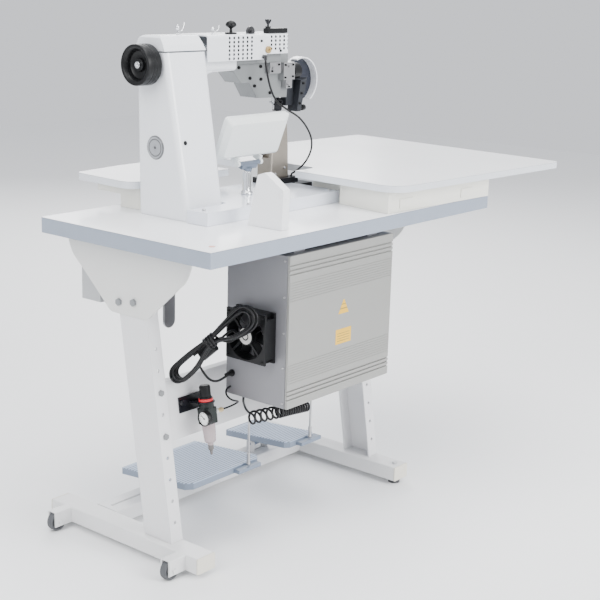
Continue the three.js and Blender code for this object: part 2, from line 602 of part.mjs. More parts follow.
function buildGuide() {
  const motor = join(
    cylinder('x', 21, 26, [-152, -100, 1124], 28),
    cylinder('x', 9, 34, [-153, -100, 1124], 16),
    box(-139, -136.3, -112, -88, 1110, 1138),
  );
  node('guide_motor', motor, FINISH.black);
  // A cup-shaped shield open to the back, with the swing arm in front of it.
  const shield = cut(
    cylinder('y', 62, 24, [-201, -118, 1096], 40),
    cylinder('y', 58.5, 24, [-201, -114, 1096], 40),
    box(-260, -120, -200, -50, 990, 1046),
    box(-176, -130, -125, -90, 1030, 1152),
  );
  node('guide_shield', shield, FINISH.white);
  const side = outline([
    [-166, 1101], [-184, 1101], [-192, 1106], [-187, 1082], [-172, 1034], [-169, 1019], [-154, 1019],
  ]);
  const arm = prismY(side, -118, -84);
  const bar = box(-160, -131, -122, -104, 1034, 1101);
  const spindle = box(-182, -166, -125.7, -100, 1070, 1090);
  node('guide_arm', join(arm, bar, spindle), FINISH.darkGrey);
  const grip = [[0, -200], [6.5, -200], [8, -198], [8, -188], [5, -186], [5, -177.3], [0, -177.3]];
  node('guide_knob', turned('x', grip, [5, -94, 1027], 14), FINISH.black);
}

function buildArmTop() {
  const { z1 } = HOOD;
  const knob = [
    [0, 0], [15, 0], [15, 4], [4, 5.5], [3.4, 13], [7, 15], [13, 19], [13.5, 23], [10, 29], [4, 32], [0, 32.4],
  ];
  node('tension_knob', turned('z', knob, [98, -92, z1 + GAP], 20), FINISH.black);
  const guide = join(
    prismX(roundRect(-86.5, z1 + GAP, -69.5, z1 + 13, 3), -90, -16, 2),
    cylinder('z', 7, 10, [-24, -78, z1 + 13], 14),
  );
  node('thread_guide', cut(guide, cylinder('z', 3.2, 30, [-24, -78, z1 + 18], 12)), FINISH.black);
  const wings = outline([
    [-27, 1246], [-34, 1254], [-33, 1258], [-24, 1253], [-15, 1258], [-14, 1254], [-21, 1246],
  ]);
  const screw = join(
    cylinder('z', 2.6, 26, [-24, -78, z1 + 22], 10),
    prismY(wings, -80, -76),
  );
  node('wing_screw', screw, FINISH.black);
}

// ---------------------------------------------------------------- bed, post and panel
function buildBed() {
  const { x0, x1, y0, y1, z } = BED;
  const plan = outline([[x0, y0], [214, y0], [214, 11], [x1, 11], [x1, y1], [x0, y1]]);
  node('bed_plate', prismZ(plan, TABLE.top + GAP, z), FINISH.white);
  const base = join(
    box(-168, -66, -158, -86, z + GAP, z + 15),
    box(-240, -142.4, -160, -95, TABLE.top + GAP, 822),
    box(-168, -142.4, -156, -97, 820, z + 3),
  );
  node('post_base', base, FINISH.black);
  const z0 = z + 15 + GAP;
  const section = (at, a0, a1) => ({ at, a0, a1, b0: POST.far, b1: POST.near, r: 4 });
  const post = join(
    loft([section(z0, -145, -73), section(930, -141, -74), section(POST.plate - 7, -134, -76)], 2),
    loft([section(POST.plate - 8, -137, -73), section(POST.plate, -136, -74)], 2),
  );
  const eye = cylinder('z', 3, 70, [NEEDLE.x, NEEDLE.y, POST.plate - 10], 12);
  const window = box(-88, -60, -140, -110, 900, 985);
  const dimple = cylinder('y', 4, 6, [-126, POST.near, 872], 10);
  node('post_bed', cut(post, eye, window, dimple), FINISH.steel);
}

function buildPanel() {
  const { x0, x1, height, thick, tilt, baseY, baseZ } = PANEL;
  const mid = (x0 + x1) / 2;
  const group = new THREE.Group();
  group.position.set(0, baseY, baseZ);
  group.rotation.x = -THREE.MathUtils.degToRad(tilt);
  machine.add(group);
  const back = loft([
    { at: 0, a0: x0, a1: x1, b0: 0, b1: height, r: 8 },
    { at: thick * 0.45, a0: x0, a1: x1, b0: 0, b1: height, r: 8 },
    { at: thick, a0: x0 + 9, a1: x1 - 20, b0: 12, b1: height - 12, r: 8 },
  ], 3);
  const upright = new THREE.Matrix4().set(1, 0, 0, 0, 0, 0, 1, -thick, 0, 1, 0, 0, 0, 0, 0, 1);
  const flip = new THREE.Matrix4().makeScale(-1, 1, 1).setPosition(x0 + x1, 0, 0);
  const housing = back.applyMatrix4(upright.multiply(flip));
  const recess = box(x0 + 12, x1 - 12, -thick - 1, -thick + 3.3, 14, height - 10);
  const ear = (u0, u1) => join(
    cylinder('x', 7, u1 - u0, [(u0 + u1) / 2, 6.5, -6.5], 14),
    box(u0, u1, -17, 6, -6, 9),
  );
  node('panel_case', join(cut(housing, recess), ear(38, 45.7), ear(121.3, 129)), FINISH.white, group);
  const glass = box(x0 + 12.3, x1 - 12.3, -thick + 0.6, -thick + 3, 14.3, height - 10.3);
  node('panel_screen', glass, paint(0x1b2a38, 0.15), group);

  // The swivel head: a yoke below the case on a chrome post.
  const yoke = join(
    cylinder('x', 5.5, 75, [83.5, 6.5, -6.5], 14),
    box(56, 111, 0.5, 12.5, -20, -6.5),
    cylinder('z', 12.5, 8, [84, 6.5, -21], 18),
  );
  node('panel_yoke', yoke, paint(0x8fa0b4, 0.4, 0.3), group);
  const postTop = baseZ - 30.8;
  const profile = [
    [0, BED.z + GAP], [15, BED.z + GAP], [15, BED.z + 6], [11, BED.z + 8], [11, postTop], [0, postTop],
  ];
  node('panel_post', turned('z', profile, [84, -44, 0], 24), FINISH.steel);
}

function buildWedge() {
  const foot = TABLE.top + GAP;
  const face = outline([[121, foot], [224, foot], [227, 893], [176, 925], [168, 927], [150, 921]]);
  node('wedge_cover', prismX(face, 238, 263), FINISH.white);
}

// ---------------------------------------------------------------- extension boards
function buildRightBoard() {
  const { turn, x, y, width, depth } = RIGHT_BOARD;
  const group = new THREE.Group();
  group.position.set(x, y, 0);
  group.rotation.z = -THREE.MathUtils.degToRad(turn);
  machine.add(group);
  const plan = roundRect(-width, -depth, 0, 0, 12);
  const r = 62;
  const corner = new THREE.Shape();
  corner.moveTo(1, 1);
  corner.lineTo(-r, 1);
  corner.lineTo(-r, 0);
  corner.absarc(-r, -r, r, Math.PI / 2, 0, true);
  corner.lineTo(1, -r);
  const board = prismZ(plan, BOARD.bottom, BOARD.bottom + BOARD.thick, 3);
  const notch = prismZ(roundRect(-80, -532, 30, -338, 20), BOARD.bottom - 5, BOARD.bottom + 40, 4);
  const rounding = prismZ(corner, BOARD.bottom - 5, BOARD.bottom + 40, 8);
  node('board_right', cut(board, notch, rounding), FINISH.laminate, group);

  const wall = 15;
  const left = (v) => -15 + 0.1 * v;
  const support = outline([
    [left(-40), -40], [left(-214), -214], [-62, -214], [-66, -335], [-66 - wall, -335],
    [-62 - wall, -214 + wall], [left(-199) - wall, -214 + wall], [left(-55) - wall, -40 - wall],
    [-450, -40 - wall], [-450, -40],
  ].reverse());
  const hinge = (u) => box(u - 26, u + 26, -41, -37.8, 809, 832);
  const wallBody = prismZ(support, TABLE.top + GAP, BOARD.bottom - GAP);
  node('support_right', join(wallBody, hinge(-90), hinge(-348)), FINISH.cream, group);
}

function buildLeftBoard() {
  const plan = new THREE.Shape();
  plan.moveTo(16, -168.5);
  plan.lineTo(318, -168.5);
  plan.quadraticCurveTo(357, -169, 360, -205);
  plan.lineTo(350, -366);
  plan.quadraticCurveTo(348, -378, 336, -380);
  plan.lineTo(189, -396);
  plan.lineTo(16, -396);
  const under = BOARD.bottom;
  node('board_left', prismZ(plan, under, under + BOARD.thick, 8), FINISH.laminate);
  const outer = roundRect(34, -270, 318, -172, 30);
  const inner = roundRect(49, -290, 303, -187, 18);
  const wall = cut(
    prismZ(outer, TABLE.top + GAP, under - GAP, 6),
    prismZ(inner, TABLE.top - 5, under + 5, 6),
  );
  const stay = box(306, 318, -336, -238, 832, under - GAP);
  node('support_left', join(wall, stay), FINISH.cream);
}

// ---------------------------------------------------------------- cords and hoses
function buildCords() {
  // Mains lead: out of the box's side, down in a bow and up into a tied hank. The hank stands on the
  // beam's top edge and leans on the fan; it is wide at both ends and pinched by its tie.
  const low = new THREE.Vector3(416, 26.6, 434.4);
  const high = new THREE.Vector3(344, 224.5, 628.2);
  const axis = high.clone().sub(low);
  const length = axis.length();
  const up = axis.clone().normalize();
  const out = new THREE.Vector3(1, 0, 0).addScaledVector(up, -up.x).normalize();
  const across = new THREE.Vector3().crossVectors(up, out);
  const frame = new THREE.Matrix4().makeBasis(across, up, out).setPosition(low);
  const inHank = (u, v, w) => new THREE.Vector3(u, v, w).applyMatrix4(frame).toArray();
  const { lower, upper, tieAt, tieOff, tieHalf, half } = HANK;
  const bundle = new THREE.Shape();
  bundle.moveTo(-lower, lower);
  bundle.absarc(0, lower, lower, Math.PI, Math.PI * 2);
  bundle.lineTo(tieOff + tieHalf, tieAt);
  bundle.lineTo(upper, length - upper);
  bundle.absarc(0, length - upper, upper, 0, Math.PI);
  bundle.lineTo(tieOff - tieHalf, tieAt);
  node('mains_hank', prismZ(bundle, -half, half, 6).applyMatrix4(frame), FINISH.black);
  const lead = [[BOX.x1 + 0.4, 104, 441], [302, 104, 440], [313, 102, 435], [324, 98, 429], [336, 94, 427],
    [348, 90, 431], [357, 85, 440], [363, 79, 452], [367, 73, 464], [373, 71, 474], inHank(0, 78, -17)];
  node('mains_lead', cable(lead, CORD.mains, 24), FINISH.black);
  const plug = join(
    prismY(roundRect(tieOff - 16, -44, tieOff + 16, -22, 8), 84, 128, 3),
    cylinder('y', 2.4, 20, [tieOff - 9.5, 76, -33], 8),
    cylinder('y', 2.4, 20, [tieOff + 9.5, 76, -33], 8),
    cylinder('y', 5, 26, [tieOff, 140, -33], 10),
    box(tieOff - 4, tieOff + 4, 145, 152, -36, -half - GAP),
  );
  node('mains_plug', plug.applyMatrix4(frame), FINISH.black);

  // Head cable: from the hood's clip, in a free bow, to the foot of the post.
  const head = [[6, -58, 1158.5], [5, -54, 1134], [-6, -50, 1090], [-26, -47, 1058], [-60, -44, 1036],
    [-112, -41, 1009], [-144, -40, 980], [-164, -41, 950], [-170, -46, 920], [-166, -62, 886], [-154, -82, 862],
    [-148, -93, 853], [-148, -93, BED.z + 15 + GAP]];
  node('head_cable', cable(head, CORD.head, 30), FINISH.black);

  // Coiled air hose: one fat tube of the helix's outside, hung below the box, then up to the beam.
  const coil = [[226, 104, 309], [170, 104, 304], [110, 104, 299], [50, 104, 293], [-10, 104, 287]];
  node('coil_hose', cable(coil, 36, 16, 12), FINISH.black);
  const hose = [
    [227, 104, 326], [238, 104, 336], [250, 108, 352], [262, 116, 366], [266, 120, 376],
    [266, 120, BOX.z0 - GAP],
  ];
  node('air_hose', cable(hose, CORD.hose, 8), FINISH.black);
}

buildTable();
buildFeet();
buildCasters();
buildLegs();
buildBeam();
buildRail();
buildTreadles();
buildControlBox();
buildFan();
buildUnderTable();
buildRegulator();
buildCasting();
buildLid();
buildHood();
buildHandwheel();
buildNeedleUnit();
buildGuide();
buildArmTop();
buildBed();
buildPanel();
buildWedge();
buildRightBoard();
buildLeftBoard();
buildCords();

const sewingMachine = new THREE.Group();
sewingMachine.add(machine);
export default sewingMachine;
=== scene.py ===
"""Looks of a post-bed leather sewing machine: finishes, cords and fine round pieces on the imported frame."""

from __future__ import annotations

import logging
import math
from dataclasses import dataclass, field
from enum import Enum

import bmesh
import bpy
import numpy as np
from mathutils import Matrix

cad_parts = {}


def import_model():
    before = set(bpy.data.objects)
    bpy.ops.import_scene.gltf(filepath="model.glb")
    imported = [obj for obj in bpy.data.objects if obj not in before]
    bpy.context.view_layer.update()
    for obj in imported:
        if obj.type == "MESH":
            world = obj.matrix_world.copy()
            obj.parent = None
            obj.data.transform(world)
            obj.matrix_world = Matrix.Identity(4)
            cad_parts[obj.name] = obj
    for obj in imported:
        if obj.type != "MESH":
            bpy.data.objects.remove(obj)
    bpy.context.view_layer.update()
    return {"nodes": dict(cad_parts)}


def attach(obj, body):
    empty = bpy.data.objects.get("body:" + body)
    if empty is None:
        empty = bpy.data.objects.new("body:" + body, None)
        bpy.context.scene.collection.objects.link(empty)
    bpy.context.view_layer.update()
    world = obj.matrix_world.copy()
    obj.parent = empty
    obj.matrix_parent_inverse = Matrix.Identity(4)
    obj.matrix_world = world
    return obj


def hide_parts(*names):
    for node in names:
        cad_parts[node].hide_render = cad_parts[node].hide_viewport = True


logging.basicConfig(level=logging.INFO, format="%(message)s")
LOG = logging.getLogger("machine")

TABLE_CENTRE = np.array([0.14636, 0.048989, 0.0])
SLOPE = 0.156
LEAN = math.atan(SLOPE)


def place(points: np.ndarray | list) -> np.ndarray:
    """Turn millimetres from the table's centre into metres in the frame.

    Args:
        points: one point or an array of points.

    Returns:
        The same points in the frame, as an array.
    """
    return np.asarray(points, dtype=float) / 1000.0 + TABLE_CENTRE


def at_x(across: float) -> float:
    """Frame metres of a distance across the table, in millimetres from its centre."""
    return across / 1000.0 + float(TABLE_CENTRE[0])


def at_y(back: float) -> float:
    """Frame metres of a distance towards the table's back, in millimetres from its centre."""
    return back / 1000.0 + float(TABLE_CENTRE[1])


# ------------------------------------------------------------------ shader maths
class Sock:
    """A shader socket that can be used in sums, products and comparisons."""

    def __init__(self, shader: "Shader", socket: bpy.types.NodeSocket) -> None:
        """Hold the socket and the shader that it belongs to."""
        self.shader = shader
        self.socket = socket

    def _maths(self, operation: str, *values: "Sock | float") -> "Sock":
        """Add one Math node and give its result."""
        return self.shader.node("ShaderNodeMath", {"operation": operation}, dict(enumerate(values)))

    def __add__(self, other: "Sock | float") -> "Sock":
        """Sum of the two."""
        return self._maths("ADD", self, other)

    __radd__ = __add__

    def __sub__(self, other: "Sock | float") -> "Sock":
        """Difference of the two."""
        return self._maths("SUBTRACT", self, other)

    def __rsub__(self, other: float) -> "Sock":
        """A number less this socket."""
        return self._maths("SUBTRACT", other, self)

    def __mul__(self, other: "Sock | float") -> "Sock":
        """Product of the two."""
        return self._maths("MULTIPLY", self, other)

    __rmul__ = __mul__

    def __truediv__(self, other: "Sock | float") -> "Sock":
        """Quotient of the two."""
        return self._maths("DIVIDE", self, other)

    def __gt__(self, other: "Sock | float") -> "Sock":
        """One where this is the larger, nought elsewhere."""
        return self._maths("GREATER_THAN", self, other)

    def __lt__(self, other: "Sock | float") -> "Sock":
        """One where this is the smaller, nought elsewhere."""
        return self._maths("LESS_THAN", self, other)

    def root(self) -> "Sock":
        """Square root."""
        return self._maths("SQRT", self)

    def within(self, low: float, high: float) -> "Sock":
        """One between the two limits, nought outside."""
        return (self > low) * (self < high)


class Shader:
    """One material's node tree around a Principled shader."""

    def __init__(self, name: str) -> None:
        """Make the material, its shader and its object coordinates.

        Args:
            name: the material's name.
        """
        self.material = bpy.data.materials.new(name)
        self.material.use_nodes = True
        self.tree = self.material.node_tree
        self.principled = self.tree.nodes["Principled BSDF"]
        self._point: Sock | None = None
        self._axes: tuple[Sock, Sock, Sock] | None = None

    def node(self, kind: str, settings: dict, inputs: dict, output: int | str = 0) -> Sock:
        """Add a node, set its settings first and then its sockets.

        Args:
            kind: the node's type.
            settings: attributes of the node.
            inputs: socket name or number to a value or a link.
            output: which output is wanted.

        Returns:
            The wanted output.
        """
        made = self.tree.nodes.new(kind)
        for name, value in settings.items():
            setattr(made, name, value)
        for key, value in inputs.items():
            self.feed(made.inputs[key], value)
        return Sock(self, made.outputs[output])

    def feed(self, socket: bpy.types.NodeSocket, value: "Sock | float | tuple") -> None:
        """Link a socket, or set its value.

        Args:
            socket: the socket to set.
            value: a link or a constant.
        """
        if isinstance(value, Sock):
            self.tree.links.new(value.socket, socket)
        else:
            socket.default_value = value

    def set(self, name: str, value: "Sock | float | tuple") -> None:
        """Feed one of the Principled shader's sockets."""
        self.feed(self.principled.inputs[name], value)

    def point(self) -> Sock:
        """The place on the piece, in metres in the frame.

        Returns:
            The coordinates as one vector.
        """
        if self._point is None:
            self._point = self.node("ShaderNodeTexCoord", {}, {}, "Object")
        return self._point

    def axes(self) -> tuple[Sock, Sock, Sock]:
        """The place's three coordinates.

        Returns:
            X, Y and Z.
        """
        if self._axes is None:
            split = self.node("ShaderNodeSeparateXYZ", {}, {0: self.point()})
            outputs = split.socket.node.outputs
            self._axes = (Sock(self, outputs[0]), Sock(self, outputs[1]), Sock(self, outputs[2]))
        return self._axes

    def noise(self, scale: float, detail: float = 3.0, stretch: tuple = (1.0, 1.0, 1.0)) -> Sock:
        """Cloudy noise from 0 to 1 in object space, stretched along the axes."""
        moved = self.node("ShaderNodeMapping", {}, {"Vector": self.point(), "Scale": stretch})
        return self.node("ShaderNodeTexNoise", {}, {"Vector": moved, "Scale": scale, "Detail": detail}, "Fac")

    def mix(self, mask: "Sock | float", first: "Sock | tuple", second: "Sock | tuple") -> Sock:
        """The first colour where the mask is nought and the second where it is one."""
        inputs = {0: mask, 6: first, 7: second}
        return self.node("ShaderNodeMix", {"data_type": "RGBA"}, inputs, 2)

    def spread(self, value: Sock, low: float, high: float) -> Sock:
        """A value from 0 to 1 spread between two limits."""
        return value * (high - low) + low

    def fract(self, value: Sock) -> Sock:
        """What is left of a value past its whole part."""
        return self.node("ShaderNodeMath", {"operation": "FRACT"}, {0: value})

    def radius(self, centre: np.ndarray, first: int, second: int) -> Sock:
        """Distance from a line along the third axis, through a centre.

        Args:
            centre: a point on the line, in the frame.
            first: number of one axis square to the line.
            second: number of the other.

        Returns:
            The distance in metres.
        """
        a = self.axes()[first] - float(centre[first])
        b = self.axes()[second] - float(centre[second])
        return (a * a + b * b).root()


Colour = tuple[float, float, float]
RUBBER: Colour = (0.05, 0.05, 0.055)
SEAM: Colour = (0.10, 0.11, 0.12)


def rgba(colour: Colour) -> tuple:
    """Give a colour its alpha of one."""
    return (*colour, 1.0)


def shade(colour: Colour, factor: float) -> tuple:
    """Darken or lighten a colour and give it its alpha."""
    return (*(min(1.0, c * factor) for c in colour), 1.0)


# ------------------------------------------------------------------ finishes
@dataclass(frozen=True)
class Finish:
    """A coat or a moulded surface: cloudy colour, uneven gloss, fine grain and softened edges."""

    name: str
    colour: Colour
    rough: float = 0.4
    metallic: float = 0.0
    coat: float = 0.0
    mottle: float = 0.05
    mottle_scale: float = 7.0
    grain: float = 0.06
    grain_scale: float = 420.0
    stretch: tuple = (1.0, 1.0, 1.0)
    edge: float = 0.0012
    specular: float = 0.5

    def tint(self, sh: Shader, base: Sock) -> Sock:
        """Paint bands or masks over the cloudy base colour. The plain finish has none."""
        return base

    def gloss(self, sh: Shader) -> Sock:
        """Roughness: a little up and down with slow noise, and finer smears.

        Args:
            sh: the material's shader.

        Returns:
            The roughness.
        """
        slow = sh.noise(5.0, 2.0)
        fine = sh.noise(60.0, 4.0, self.stretch)
        return sh.spread(slow * 0.6 + fine * 0.4, self.rough * 0.78, min(1.0, self.rough * 1.22))

    def height(self, sh: Shader) -> Sock:
        """Height of the surface grain, from 0 to 1."""
        return sh.noise(self.grain_scale, 3.0, self.stretch)

    def build(self) -> bpy.types.Material:
        """Make the material.

        Returns:
            The finished Blender material.
        """
        sh = Shader(self.name)
        cloud = sh.noise(self.mottle_scale, 5.0, self.stretch)
        base = sh.mix(cloud, shade(self.colour, 1.0 - self.mottle), shade(self.colour, 1.0 + self.mottle))
        sh.set("Base Color", self.tint(sh, base))
        sh.set("Roughness", self.gloss(sh))
        sh.set("Metallic", self.metallic)
        sh.set("Coat Weight", self.coat)
        sh.set("Specular IOR Level", self.specular)
        inputs = {"Strength": self.grain, "Distance": 0.0006, "Height": self.height(sh)}
        if self.edge:
            inputs["Normal"] = sh.node("ShaderNodeBevel", {"samples": 4}, {"Radius": self.edge})
        sh.set("Normal", sh.node("ShaderNodeBump", {}, inputs))
        self.extra(sh)
        return sh.material

    def extra(self, sh: Shader) -> None:
        """Set constants of a special finish. The plain finish has none."""


@dataclass(frozen=True)
class Laminate(Finish):
    """White laminate whose sides carry a pale blue-grey edge band."""

    top: float = 0.8
    band: Colour = (0.27, 0.31, 0.38)

    def tint(self, sh: Shader, base: Sock) -> Sock:
        """The band is painted below the top face, with a thin darker joint line at its top.

        Args:
            sh: the material's shader.
            base: the colour under the painted masks.

        Returns:
            The painted colour.
        """
        z = sh.axes()[2]
        side = z < self.top - 0.0008
        joint = z.within(self.top - 0.0022, self.top - 0.0008)
        banded = sh.mix(side, base, sh.mix(sh.noise(18.0), shade(self.band, 0.97), shade(self.band, 1.04)))
        return sh.mix(joint, banded, shade(self.band, 0.72))


@dataclass(frozen=True)
class FootCoat(Finish):
    """Powder coat with moulded cream caps at the ends and bright bolts on top."""

    def tint(self, sh: Shader, base: Sock) -> Sock:
        """Cream where the piece ends along Y, steel above the tube and rubber black at the floor.

        Args:
            sh: the material's shader.
            base: the colour under the painted masks.

        Returns:
            The painted colour.
        """
        x, y, z = sh.axes()
        low, high = at_y(-328.0), at_y(190.0)
        caps = (y < low + 0.003) + (y > high - 0.003)
        capped = sh.mix(caps, base, rgba((0.72, 0.69, 0.60)))
        bolts = sh.mix(z > 0.0532, capped, rgba((0.55, 0.56, 0.57)))
        return sh.mix((z < 0.0125) * (x < 0.0), bolts, rgba(RUBBER))


@dataclass(frozen=True)
class DrilledCoat(Finish):
    """Powder coat on the channels, with zinc bolt heads behind the back flange."""

    def tint(self, sh: Shader, base: Sock) -> Sock:
        """The bolt heads stand out behind the leaning back flange, and only they are zinc.

        Args:
            sh: the material's shader.
            base: the colour under the painted masks.

        Returns:
            The painted colour.
        """
        y, z = sh.axes()[1], sh.axes()[2]
        behind = (y + z * SLOPE) > (at_y(86.3) + 0.053 * SLOPE)
        return sh.mix(behind, base, rgba((0.20, 0.205, 0.21)))


@dataclass(frozen=True)
class PlateCoat(Finish):
    """Coat of the shoulder plates, with zinc bolt heads outside the plate."""

    outer: float = 0.0
    side: float = 1.0

    def tint(self, sh: Shader, base: Sock) -> Sock:
        """Zinc beyond the plate's outer face."""
        x = sh.axes()[0] * self.side
        return sh.mix(x > self.outer * self.side + 0.0045, base, rgba((0.22, 0.23, 0.24)))


@dataclass(frozen=True)
class HoodPaint(Finish):
    """White paint of the folded hood: black wheel on top, brass eye and black clip on its back, and painted
    shade in its drilled holes.
    """

    def tint(self, sh: Shader, base: Sock) -> Sock:
        """Each small fitting is told from the sheet by its place.

        Args:
            sh: the material's shader.
            base: the colour under the painted masks.

        Returns:
            The painted colour.
        """
        x, y, z = sh.axes()
        wheel = sh.mix(z > 1.2232, base, rgba((0.02, 0.02, 0.022)))
        proud = y > at_y(-65.5)
        eye = sh.mix(proud * (z > 1.173), wheel, rgba((0.36, 0.24, 0.09)))
        clip = sh.mix(proud * (z < 1.173), eye, rgba((0.01, 0.01, 0.012)))
        wall = y > at_y(-69.5)
        right = self.field(sh, 130.0, 6, 6, 1215.0)
        left = self.field(sh, -25.0, 5, 4, 1215.5)
        # Painted shade: near black inside the drilled holes and round their rims.
        return sh.mix(wall * (right + left), clip, rgba((0.008, 0.008, 0.009)))

    def field(self, sh: Shader, first: float, columns: int, rows: int, high: float) -> Sock:
        """Painted shade: one inside each drilled hole and round its rim, from the distance to the nearest
        point of a lattice.

        Args:
            sh: the material's shader.
            first: place of the first column, in table millimetres.
            columns: how many columns.
            rows: how many rows.
            high: height of the top row, in millimetres.

        Returns:
            One inside the holes, nought outside.
        """
        x, z = sh.axes()[0], sh.axes()[2]
        across, down, radius = 0.0162, 0.0099, 0.0035
        start = at_x(first)
        top = high / 1000.0
        u = (sh.fract((start - x) / across + 0.5) - 0.5) * across
        v = sh.fract((top - z) / down + 0.5) - 0.5
        near = (u * u + v * v * down * down).root() < radius
        inside = x.within(start - across * (columns - 0.5), start + across * 0.5)
        return near * inside * z.within(top - down * (rows - 0.5), top + down * 0.5)


@dataclass(frozen=True)
class ColumnEnamel(Finish):
    """White enamel with a grey ringed cap on the column's side and a dark seam below the lid."""

    def tint(self, sh: Shader, base: Sock) -> Sock:
        """Rings by distance from the cap's centre, outside the column's side only.

        Args:
            sh: the material's shader.
            base: the colour under the painted masks.

        Returns:
            The painted colour.
        """
        x, z = sh.axes()[0], sh.axes()[2]
        ring = sh.radius(place([345.0, -101.0, 964.0]), 1, 2)
        outside = x > at_x(344.5)
        disc = sh.mix(outside * (ring < 0.0275), base, rgba((0.30, 0.31, 0.33)))
        groove = ring.within(0.0255, 0.0285) + ring.within(0.0185, 0.0212)
        ringed = sh.mix(outside * groove, disc, rgba((0.12, 0.125, 0.13)))
        dotted = sh.mix(outside * (ring < 0.0035), ringed, rgba(RUBBER))
        return sh.mix(z.within(1.1852, 1.1871), dotted, rgba(SEAM))


@dataclass(frozen=True)
class LidPaint(Finish):
    """White paint with a dark seam along the lid's lower edge."""

    def tint(self, sh: Shader, base: Sock) -> Sock:
        """The seam is the lowest millimetre."""
        return sh.mix(sh.axes()[2] < 1.1884, base, rgba(SEAM))


@dataclass(frozen=True)
class TreadleCoat(Finish):
    """Blue-grey coat, with a painted highlight on the ribs' crests and painted shade in the grooves."""

    def tint(self, sh: Shader, base: Sock) -> Sock:
        """Crests and grooves follow the ribs' even pitch from the back; the large one ends further back.

        Args:
            sh: the material's shader.
            base: the colour under the painted masks.

        Returns:
            The painted colour.
        """
        x, y, z = sh.axes()
        back = at_y(-16.0)
        shift = (x < at_x(0.0)) * 0.016
        groove = sh.fract((y + shift - back) / 0.0105).within(0.02, 0.42)
        # Painted highlight: the whole upper face is painted pale; painted shade darkens the grooves in it.
        upper = (z - y * 0.085) > (0.1068 + 0.085 * 0.205)
        painted_top_light = sh.mix(upper, base, shade(self.colour, 2.1))
        return sh.mix(groove * upper, painted_top_light, shade(self.colour, 0.8))


@dataclass(frozen=True)
class RegulatorCase(Finish):
    """Dark moulded regulator body with its red collar, white push fitting and brass stub."""

    def along(self, sh: Shader) -> Sock:
        """Distance along the leaning axis, in metres from the middle of the beam.

        Args:
            sh: the material's shader.

        Returns:
            The distance in metres.
        """
        y, z = sh.axes()[1], sh.axes()[2]
        c, s = math.cos(LEAN), math.sin(LEAN)
        return (z - 0.361) * c - (y - at_y(33.652)) * s

    def tint(self, sh: Shader, base: Sock) -> Sock:
        """Red between two heights on the axis, white to the left of the body.

        Args:
            sh: the material's shader.
            base: the colour under the painted masks.

        Returns:
            The painted colour.
        """
        x = sh.axes()[0]
        red = sh.mix(self.along(sh).within(0.0103, 0.0172), base, rgba((0.62, 0.03, 0.04)))
        ring = sh.mix(x < at_x(331.5), red, rgba((0.78, 0.78, 0.76)))
        return sh.mix(x < at_x(312.0), ring, rgba((0.60, 0.47, 0.26)))


@dataclass(frozen=True)
class ShieldPlastic(Finish):
    """White cup with a navy floor inside."""

    def tint(self, sh: Shader, base: Sock) -> Sock:
        """Navy inside the rim, in front of the outer back face.

        Args:
            sh: the material's shader.
            base: the colour under the painted masks.

        Returns:
            The painted colour.
        """
        centre = place([-201.0, -118.0, 1096.0])
        inside = sh.radius(centre, 0, 2) < 0.0582
        y = sh.axes()[1]
        floor = y.within(at_y(-128.5), at_y(-125.5))
        return sh.mix(inside * floor, base, rgba((0.010, 0.013, 0.024)))


@dataclass(frozen=True)
class Tyre(Finish):
    """Grey tyre on a black rim with a pale hub face."""

    def tint(self, sh: Shader, base: Sock) -> Sock:
        """Rings by distance from the axle.

        Args:
            sh: the material's shader.
            base: the colour under the painted masks.

        Returns:
            The painted colour.
        """
        ring = sh.radius(place([530.0, 0.0, 25.0]), 0, 2)
        rim = sh.mix(ring < 0.0185, base, rgba((0.03, 0.03, 0.033)))
        return sh.mix(ring < 0.0135, rim, rgba((0.62, 0.63, 0.64)))


@dataclass(frozen=True)
class Brushed(Finish):
    """Metal with fine lines along one axis."""

    def height(self, sh: Shader) -> Sock:
        """Long thin noise: lines that run along the stretched axis."""
        return sh.noise(900.0, 2.0, self.stretch)


@dataclass(frozen=True)
class Clear(Finish):
    """Clear moulded bowl with a steel drain below it."""

    def tint(self, sh: Shader, base: Sock) -> Sock:
        """Steel below the bowl."""
        return sh.mix(sh.axes()[2] < 0.272, base, rgba((0.16, 0.15, 0.145)))

    def extra(self, sh: Shader) -> None:
        """Some light passes through the wall."""
        sh.set("Transmission Weight", 0.35)
        sh.set("IOR", 1.46)


@dataclass(frozen=True)
class ScreenGlass(Finish):
    """Dark touch screen with plain coloured tiles."""

    def tint(self, sh: Shader, base: Sock) -> Sock:
        """A grid of tiles: thin dark joints between blue-grey fields.

        Args:
            sh: the material's shader.
            base: the colour under the painted masks.

        Returns:
            The painted colour.
        """
        x, z = sh.axes()[0], sh.axes()[2]
        across = sh.fract(x / 0.034)
        up = sh.fract(z / 0.022)
        tile = across.within(0.08, 0.92) * up.within(0.1, 0.9)
        return sh.mix(tile, base, sh.mix(sh.noise(30.0, 0.0), rgba((0.04, 0.10, 0.19)),
                                         rgba((0.10, 0.22, 0.34))))


@dataclass(frozen=True)
class Sticker(Finish):
    """Yellow label with plain dark bars kept off its edge, without lettering."""

    low: tuple = (0.0, 0.0)
    high: tuple = (1.0, 1.0)
    bars: float = 0.006

    def tint(self, sh: Shader, base: Sock) -> Sock:
        """Dark bars at an even pitch, kept off the border.

        Args:
            sh: the material's shader.
            base: the colour under the painted masks.

        Returns:
            The painted colour.
        """
        x, z = sh.axes()[0], sh.axes()[2]
        inner = x.within(self.low[0], self.high[0]) * z.within(self.low[1], self.high[1])
        row = sh.fract(z / self.bars)
        return sh.mix(inner * (row < 0.22), base, rgba((0.20, 0.15, 0.03)))


ENAMEL: dict[str, float] = {"mottle": 0.02, "grain": 0.03, "grain_scale": 160.0}
POWDER: dict[str, float] = {"grain": 0.10, "grain_scale": 600.0}

